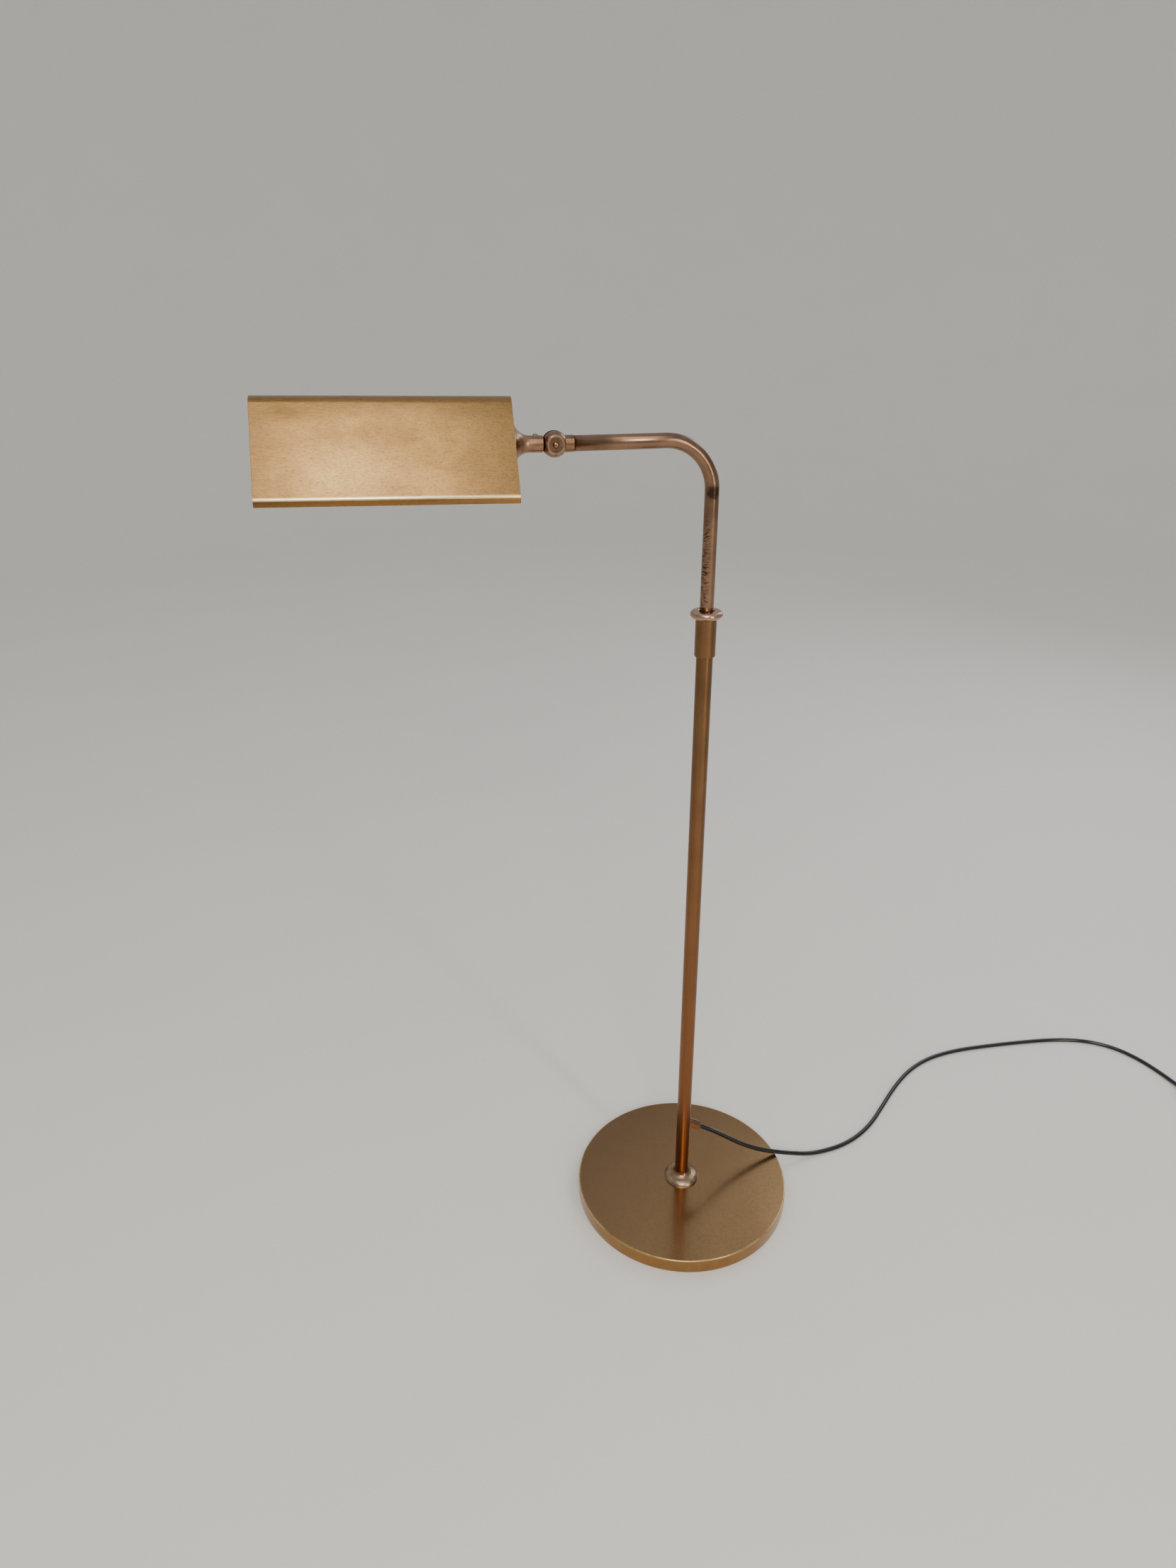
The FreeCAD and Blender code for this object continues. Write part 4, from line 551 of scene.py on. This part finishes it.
arm = bmesh.new()
bmesh.ops.create_circle(arm, cap_ends=False, radius=6.5, segments=64,
                        matrix=Matrix.Translation((0, 0, TUBE_LOW)))
end = drawn_on(arm, list(arm.edges), (0, 0, ARM_HIGH - BEND - TUBE_LOW))
bend = bmesh.ops.spin(arm, geom=end, cent=(-BEND, 0, ARM_HIGH - BEND), axis=(0, -1, 0), dvec=(0, 0, 0),
                      angle=math.pi / 2, steps=28, use_merge=False, use_duplicate=False)
end = [e for e in bend["geom_last"] if isinstance(e, bmesh.types.BMEdge)]
drawn_on(arm, end, (TUBE_END + BEND, 0, 0))
bent = made("bent_tube", arm, "arm", arm_brass, "inner_tube", slot="arm")
wall = bent.modifiers.new("tube_wall", "SOLIDIFY")
wall.thickness = 0.001
wall.offset = -1  # inwards
# Heat-proof sleeve over the leads: cream glass yarn, a dull weave with threads of 0.7 mm
heat_proof = coated("heat_proof_sleeve", Base_Color=linear("#CFC8B4"), Roughness=0.6)
place = add(heat_proof, "ShaderNodeTexCoord").outputs["Object"]
weave = add(heat_proof, "ShaderNodeTexNoise", {"Vector": place, "Scale": 1500, "Detail": 2})
relief = add(heat_proof, "ShaderNodeBump",
             {"Strength": 0.4, "Distance": 0.0002, "Height": weave.outputs[0]})
wire(heat_proof, Normal=relief.outputs[0])
finished("inner_lead", heat_proof)
finished("head_lead", heat_proof)

# Knuckle: a turned ball with two flats, slotted for the tongue of the neck, on a steel-cored pin with
# a domed end. A nut with a cross bar behind it pinches the slot.
welded("knuckle_fork", "arm", rosy, "arm", 30, edge=0.8)
PIN_RADIUS, PIN_HEAD = 2, 2.55
PIN_TIP, PIN_BACK = (-corner.y * 1000 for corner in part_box("pivot_pin"))
pin = turned((0, PIN_BACK), (PIN_RADIUS, PIN_BACK, 0.2), (PIN_RADIUS, PIN_TIP - 2.1),
             (PIN_HEAD, PIN_TIP - 1.5), (2.5, PIN_TIP - 0.9, 0.4), (1.5, PIN_TIP - 0.2, 0.5),
             (0, PIN_TIP), steps=48)
lying = Matrix.Translation(KNUCKLE) @ Matrix.Rotation(math.pi / 2, 4, "X")
made("domed_pin", pin, "arm", rosy, "pivot_pin", slot="arm", place=lying)
finished("pivot_washer", zinc)
welded("clamp_nut", "clamp", rosy, "clamp", edge=0.4)
finished("clamp_bar", rosy)

# Neck: a turned brass stem with the knuckle's tongue on one end. The trumpet that carries the shade
# swivels on it, held by a nut on a fibre washer.
finished("neck_stem", rosy)
finished("neck_nut", zinc)
# Vulcanised fibre: brick red pressed paper, dull, with flecks of about 1 mm
fibre = coated("vulcanised_fibre", Roughness=0.6)
place = add(fibre, "ShaderNodeTexCoord").outputs["Object"]
flecks = add(fibre, "ShaderNodeTexNoise", {"Vector": place, "Scale": 1100, "Detail": 4})
tone = add(fibre, "ShaderNodeMix", {0: flecks.outputs[0], 6: linear("#5A2416"), 7: linear("#7E3A24")},
           data_type="RGBA")
wire(fibre, Base_Color=tone.outputs[2])
finished("neck_washer", fibre)
finished("neck_trumpet", rosy)

# Shade: one brass sheet bent to a tent with a round ridge and two short upright lips, brushed along
# its length, browned and rubbed back, so it is gold with brown clouds. It is enamelled white inside.
TILT = math.radians(1.3)
front = Vector((0, -1, 0))
upward = Vector((math.sin(TILT), 0, math.cos(TILT)))
outward = Vector((-math.cos(TILT), 0, math.sin(TILT)))
HEAD = Matrix.Translation(KNUCKLE) @ Matrix((front, upward, outward)).transposed().to_4x4()
# Brushed aged brass: brush lines along the sheet spread each highlight up and down into a broad glow,
# and years of handling have left brown clouds, dark pepper and rubbed gold over it, with painted shade and
# painted highlights on top
brushed = coated("brushed_aged_brass", Metallic=1)
place = add(brushed, "ShaderNodeTexCoord").outputs["Object"]
level = add(brushed, "ShaderNodeMapping", {"Vector": place, "Location": -KNUCKLE})
level = add(brushed, "ShaderNodeMapping", {"Vector": level.outputs[0], "Rotation": (0, -TILT, 0)})
parts = add(brushed, "ShaderNodeSeparateXYZ", {0: level.outputs[0]})
# brush lines are about 0.2 mm apart and some 8 mm long; drawn at 0.4 mm so that they show
stretched = add(brushed, "ShaderNodeMapping", {"Vector": level.outputs[0], "Scale": (130, 2600, 2600)})
lines = add(brushed, "ShaderNodeTexNoise", {"Vector": stretched.outputs[0], "Scale": 1, "Detail": 3})
broad = add(brushed, "ShaderNodeMapping", {"Vector": level.outputs[0], "Scale": (34, 50, 50)})
clouds = add(brushed, "ShaderNodeTexNoise",
             {"Vector": broad.outputs[0], "Scale": 1, "Detail": 8, "Roughness": 0.6, "Distortion": 0.4})
clouded = add(brushed, "ShaderNodeMapRange", {0: clouds.outputs[0], 1: 0.4, 2: 0.68, 3: 0, 4: 0.6})
gold = add(brushed, "ShaderNodeMix", {0: clouded.outputs[0], 6: linear("#B28A55"), 7: linear("#946F47")},
           data_type="RGBA")
# painted shade under the ridge, and a painted glow low on the panels, partly rubbed bright brass
ridge = add(brushed, "ShaderNodeMapRange", {0: parts.outputs[2], 1: 0.018, 2: 0.037, 3: 0, 4: 0.7})
gold = add(brushed, "ShaderNodeMix", {0: ridge.outputs[0], 6: gold.outputs[2], 7: linear("#765A3B")},
           data_type="RGBA")
left_end = add(brushed, "ShaderNodeMapRange", {0: parts.outputs[0], 1: -0.205, 2: -0.238, 3: 0, 4: 0.55})
gold = add(brushed, "ShaderNodeMix", {0: left_end.outputs[0], 6: gold.outputs[2], 7: linear("#80623F")},
           data_type="RGBA")
# painted glow of reflected light low on the panels, partly rubbed bright
wide = add(brushed, "ShaderNodeMapping", {"Vector": level.outputs[0], "Scale": (1, 0, 2.1)})
rubbed = add(brushed, "ShaderNodeVectorMath",
             {0: wide.outputs[0], 1: (-0.172, 0, -0.036)}, operation="DISTANCE")
painted_glow_and_rubbing = add(brushed, "ShaderNodeMapRange",
             {0: rubbed.outputs["Value"], 1: 0.06, 2: 0.012, 3: 0, 4: 0.7})
gold = add(brushed, "ShaderNodeMix", {0: painted_glow_and_rubbing.outputs[0], 6: gold.outputs[2], 7: linear("#D2AB70")},
           data_type="RGBA")
# a brown smudge near the far top corner, with a wandering edge
smudge = add(brushed, "ShaderNodeMapping", {"Vector": level.outputs[0], "Scale": (1, 0, 3.4)})
smudge = add(brushed, "ShaderNodeVectorMath",
             {0: smudge.outputs[0], 1: (-0.212, 0, 0.096)}, operation="DISTANCE")
wander = add(brushed, "ShaderNodeMath", {0: clouds.outputs[0], 1: 0.03}, operation="MULTIPLY")
smudge = add(brushed, "ShaderNodeMath",
             {0: smudge.outputs["Value"], 1: wander.outputs[0]}, operation="ADD")
smudge = add(brushed, "ShaderNodeMapRange", {0: smudge.outputs[0], 1: 0.052, 2: 0.026, 3: 0, 4: 0.6})
gold = add(brushed, "ShaderNodeMix", {0: smudge.outputs[0], 6: gold.outputs[2], 7: linear("#7A5A32")},
           data_type="RGBA")
# pepper: dark spots of 1 to 2 mm, drawn out along the brush lines
specks = add(brushed, "ShaderNodeMapping", {"Vector": level.outputs[0], "Scale": (420, 1000, 1000)})
specks = add(brushed, "ShaderNodeTexNoise", {"Vector": specks.outputs[0], "Scale": 1, "Detail": 4})
peppered = add(brushed, "ShaderNodeMapRange", {0: specks.outputs[0], 1: 0.46, 2: 0.72, 3: 0, 4: 0.6})
gold = add(brushed, "ShaderNodeMix", {0: peppered.outputs[0], 6: gold.outputs[2], 7: linear("#765630")},
           data_type="RGBA")
streak = add(brushed, "ShaderNodeMapRange", {0: lines.outputs[0], 1: 0.4, 2: 0.75, 3: 0, 4: 0.25})
gold = add(brushed, "ShaderNodeMix", {0: streak.outputs[0], 6: gold.outputs[2], 7: linear("#D9B478")},
           data_type="RGBA")
# a painted highlight along the bend over the lip, and painted shade on the lip under it
over = add(brushed, "ShaderNodeMapRange", {0: parts.outputs[2], 1: -0.0345, 2: -0.0338, 3: 0, 4: 1})
under = add(brushed, "ShaderNodeMapRange", {0: parts.outputs[2], 1: -0.0314, 2: -0.0322, 3: 0, 4: 1})
along = add(brushed, "ShaderNodeMapRange", {0: parts.outputs[0], 1: -0.06, 2: -0.17, 3: 0.75, 4: 0.95})
bend = add(brushed, "ShaderNodeMath", {0: over.outputs[0], 1: under.outputs[0]}, operation="MULTIPLY")
painted_fold_highlight = add(brushed, "ShaderNodeMath", {0: bend.outputs[0], 1: along.outputs[0]}, operation="MULTIPLY")
# painted shade on the lip
brown = add(brushed, "ShaderNodeMapRange", {0: parts.outputs[2], 1: -0.0338, 2: -0.0348, 3: 0, 4: 0.7})
gold = add(brushed, "ShaderNodeMix", {0: brown.outputs[0], 6: gold.outputs[2], 7: linear("#7A5630")},
           data_type="RGBA")
gold = add(brushed, "ShaderNodeMix", {0: painted_fold_highlight.outputs[0], 6: gold.outputs[2], 7: linear("#F4DCAA")},
           data_type="RGBA")
gloss = add(brushed, "ShaderNodeMapRange", {0: clouds.outputs[0], 1: 0.35, 2: 0.7, 3: 0.27, 4: 0.4})
relief = add(brushed, "ShaderNodeBump",
             {"Strength": 0.1, "Distance": 0.0001, "Height": lines.outputs[0]})
wire(brushed, Base_Color=gold.outputs[2], Roughness=gloss.outputs[0], Normal=relief.outputs[0])

# Stoved white enamel: a soft gloss over 2 mm of orange peel, yellowed in patches by the lamp's heat
enamel = coated("white_enamel", Roughness=0.35, IOR=1.5)
place = add(enamel, "ShaderNodeTexCoord").outputs["Object"]
peel = add(enamel, "ShaderNodeTexNoise", {"Vector": place, "Scale": 500, "Detail": 2})
yellowed = add(enamel, "ShaderNodeTexNoise", {"Vector": place, "Scale": 18, "Detail": 3})
tone = add(enamel, "ShaderNodeMix", {0: yellowed.outputs[0], 6: linear("#F0EEE6"), 7: linear("#E2DCC8")},
           data_type="RGBA")
relief = add(enamel, "ShaderNodeBump", {"Strength": 0.1, "Distance": 0.0002, "Height": peel.outputs[0]})
wire(enamel, Base_Color=tone.outputs[2], Normal=relief.outputs[0])

LEAN = math.radians(35.5)
HALF, TOP, DROP = 56.4, 37.6, -38.7  # half its width, its ridge and its lower edge
RIDGE, FOLD = 12.0, 3.0  # radii of the bends
SHADE_FROM, SHADE_TO = 36.5, 242.0  # its ends, from the knuckle
SHEET = 1.0
FOLD_HIGH = TOP - RIDGE + RIDGE / math.sin(LEAN) - HALF / math.tan(LEAN)


def bent_section(shape, inset):
    """The edges of the bent sheet seen from its end, set in by so many mm: half of it is bent up from
    the top of the ridge to the lip, then mirrored."""
    ridge, fold, half = RIDGE - inset, FOLD - inset, HALF - inset
    panel = FOLD_HIGH + inset / math.tan(LEAN) - inset / math.sin(LEAN)
    start = shape.verts.new((0, TOP - inset, 0))
    arc = bmesh.ops.spin(shape, geom=[start], cent=(0, TOP - RIDGE, 0), axis=(0, 0, -1), dvec=(0, 0, 0),
                         angle=math.pi / 2 - LEAN, steps=16, use_merge=False, use_duplicate=False)
    end = [v for v in arc["geom_last"] if isinstance(v, bmesh.types.BMVert)]
    back_off = fold * math.tan(LEAN / 2)
    target = Vector((half - back_off * math.sin(LEAN), panel + back_off * math.cos(LEAN), 0))
    grown = bmesh.ops.extrude_vert_indiv(shape, verts=end)["verts"]
    bmesh.ops.translate(shape, vec=target - grown[0].co, verts=grown)
    arc = bmesh.ops.spin(shape, geom=grown, cent=(half - fold, panel - back_off, 0), axis=(0, 0, -1),
                         dvec=(0, 0, 0), angle=LEAN, steps=8, use_merge=False, use_duplicate=False)
    end = [v for v in arc["geom_last"] if isinstance(v, bmesh.types.BMVert)]
    grown = bmesh.ops.extrude_vert_indiv(shape, verts=end)["verts"]
    bmesh.ops.translate(shape, vec=Vector((half, DROP, 0)) - grown[0].co, verts=grown)
    bmesh.ops.mirror(shape, geom=[*shape.verts, *shape.edges], axis="X", merge_dist=0.01)


sheet = bmesh.new()
bent_section(sheet, 0)
drawn_on(sheet, list(sheet.edges), (0, 0, SHADE_TO - SHADE_FROM))
bmesh.ops.translate(sheet, vec=(0, 0, SHADE_FROM), verts=sheet.verts)
shell = made("bent_shade", sheet, "shade", brushed, "shade_shell", slot="shade", place=HEAD, crisp=25)
if sum(face.normal.z * face.area for face in shell.data.polygons) < 0:
    shell.data.flip_normals()
shell.data.materials.append(enamel)
wall = shell.modifiers.new("sheet_wall", "SOLIDIFY")
wall.thickness = SHEET / 1000
wall.offset = -1
wall.material_offset = 1  # enamel on the inside, brass round the rim
wall.material_offset_rim = 0
softened(shell, 0.25, 50)

# End caps: two flat plates pressed to the same outline and soldered just inside the ends. The right one
# has a hole for the lead and two for the screws of the holder's bracket.
CAP = 1.2
welded("shade_cap_right", "shade", brushed, "shade", 30, edge=0.2)
plate = bmesh.new()
bent_section(plate, SHEET + 0.05)
lips = [v for v in plate.verts if len(v.link_edges) == 1]
bmesh.ops.contextual_create(plate, geom=lips)
bmesh.ops.edgeloop_fill(plate, edges=list(plate.edges))
grown = bmesh.ops.extrude_face_region(plate, geom=list(plate.faces))["geom"]
verts = [v for v in grown if isinstance(v, bmesh.types.BMVert)]
bmesh.ops.translate(plate, vec=(0, 0, CAP), verts=verts)
bmesh.ops.translate(plate, vec=(0, 0, SHADE_TO - CAP), verts=plate.verts)
cap = made("shade_end_left", plate, "shade", brushed, "shade_cap_left", slot="shade", place=HEAD)
softened(cap, 0.2, 50)

# Lampholder: a moulded black holder on a bent steel bracket, which two screws hold to the right end cap.
# A nut clamps the holder, and its contact is sprung.
welded("holder_bracket", "shade", zinc, "steel", 30, edge=0.2)
finished("bracket_screws", zinc)
for node in ("holder_nut", "holder_stay", "holder_contact"):
    finished(node, zinc)
welded("lampholder", "shade", moulded, "holder", 30, edge=0.3)

# Bulb: a tubular lamp of opal glass, with a screwed cap of drawn aluminium. It lies along the shade just
# under the ridge.
# Opal glass: milky white and glossy, faintly clouded, with light going 3 mm into it
opal = coated("opal_glass", Roughness=0.12, IOR=1.5, Subsurface_Weight=0.25, Subsurface_Scale=0.003)
place = add(opal, "ShaderNodeTexCoord").outputs["Object"]
milk = add(opal, "ShaderNodeTexNoise", {"Vector": place, "Scale": 40, "Detail": 2})
tone = add(opal, "ShaderNodeMix", {0: milk.outputs[0], 6: linear("#F6F4EE"), 7: linear("#ECE7DB")},
           data_type="RGBA")
wire(opal, Base_Color=tone.outputs[2])
finished("bulb_glass", opal)
# Drawn aluminium: light grey, with a gloss that varies as it came from the die
tin = coated("drawn_aluminium", Base_Color=linear("#C8C8C6"), Metallic=1)
place = add(tin, "ShaderNodeTexCoord").outputs["Object"]
drawn = add(tin, "ShaderNodeTexNoise", {"Vector": place, "Scale": 700, "Detail": 3})
gloss = add(tin, "ShaderNodeMapRange", {0: drawn.outputs[0], 1: 0.3, 2: 0.7, 3: 0.22, 4: 0.4})
wire(tin, Roughness=gloss.outputs[0])
finished("bulb_cap", tin)

# Stage: a plain pale floor that curves up to a wall far out all round, as in a studio, lit softly by
# large panels, because metal shows what it reflects
# Pale matt floor: nearly one tone, so that only the lamp's own shadow shows on it
plain = coated("pale_floor", Roughness=0.6)
place = add(plain, "ShaderNodeTexCoord").outputs["Object"]
faint = add(plain, "ShaderNodeTexNoise", {"Vector": place, "Scale": 3, "Detail": 2})
tone = add(plain, "ShaderNodeMix", {0: faint.outputs[0], 6: linear("#E4E0D9"), 7: linear("#E0DCD5")},
           data_type="RGBA")
wire(plain, Base_Color=tone.outputs[2])
ground = bmesh.new()
FLOOR, WALL = 7, 5  # how far out the floor goes, and how high its wall
foot_line = [ground.verts.new(corner) for corner in ((0, 0, 0), (FLOOR, 0, 0), (FLOOR, 0, WALL))]
for pair in zip(foot_line, foot_line[1:]):
    ground.edges.new(pair)
bmesh.ops.bevel(ground, geom=[foot_line[1]], offset=3.2, offset_type="OFFSET", affect="VERTICES",
                segments=24, profile=0.5, material=-1)
bmesh.ops.spin(ground, geom=[*ground.verts, *ground.edges], cent=(0, 0, 0), axis=(0, 0, 1),
               dvec=(0, 0, 0), angle=math.tau, steps=96, use_merge=True, use_duplicate=False)
bmesh.ops.remove_doubles(ground, verts=ground.verts, dist=0.0001)
bmesh.ops.recalc_face_normals(ground, faces=ground.faces)
floor_mesh = bpy.data.meshes.new("studio_floor")
ground.to_mesh(floor_mesh)
ground.free()
floor_mesh.polygons.foreach_set("use_smooth", [True] * len(floor_mesh.polygons))
floor_mesh.materials.append(plain)
floor = bpy.data.objects.new("studio_floor", floor_mesh)
bpy.context.collection.objects.link(floor)
sky = bpy.data.worlds.new("studio")
sky.use_nodes = True
air = sky.node_tree.nodes["Background"]
air.inputs["Color"].default_value = linear("#DCE0E4")
air.inputs["Strength"].default_value = 0.9
bpy.context.scene.world = sky
aim = Vector((-0.1, 0, 0.5))
panels = (
    ("high_panel", (-0.5, -1.3, 3.1), (2.0, 1.2), 17, "#FFF7EC"),
    ("window_panel", (-0.6, -2.5, 2.2), (1.2, 1.0), 44, "#FFFAF2"),
    ("strip_panel", (1.1, -2.4, 1.3), (0.2, 1.9), 20, "#FFF6E8"),
    ("back_panel", (1.6, 1.2, 1.6), (0.8, 1.4), 10, "#EEF3FF"),
)
for name, spot, sides, power, colour in panels:
    panel = bpy.data.lights.new(name, "AREA")
    panel.shape = "RECTANGLE"
    panel.size, panel.size_y = sides
    panel.energy = power
    panel.color = linear(colour)[:3]
    lamp = bpy.data.objects.new(name, panel)
    lamp.location = spot
    lamp.rotation_euler = (aim - Vector(spot)).to_track_quat("-Z", "Y").to_euler()
    lamp.visible_camera = False
    bpy.context.collection.objects.link(lamp)

bpy.context.view_layer.update()
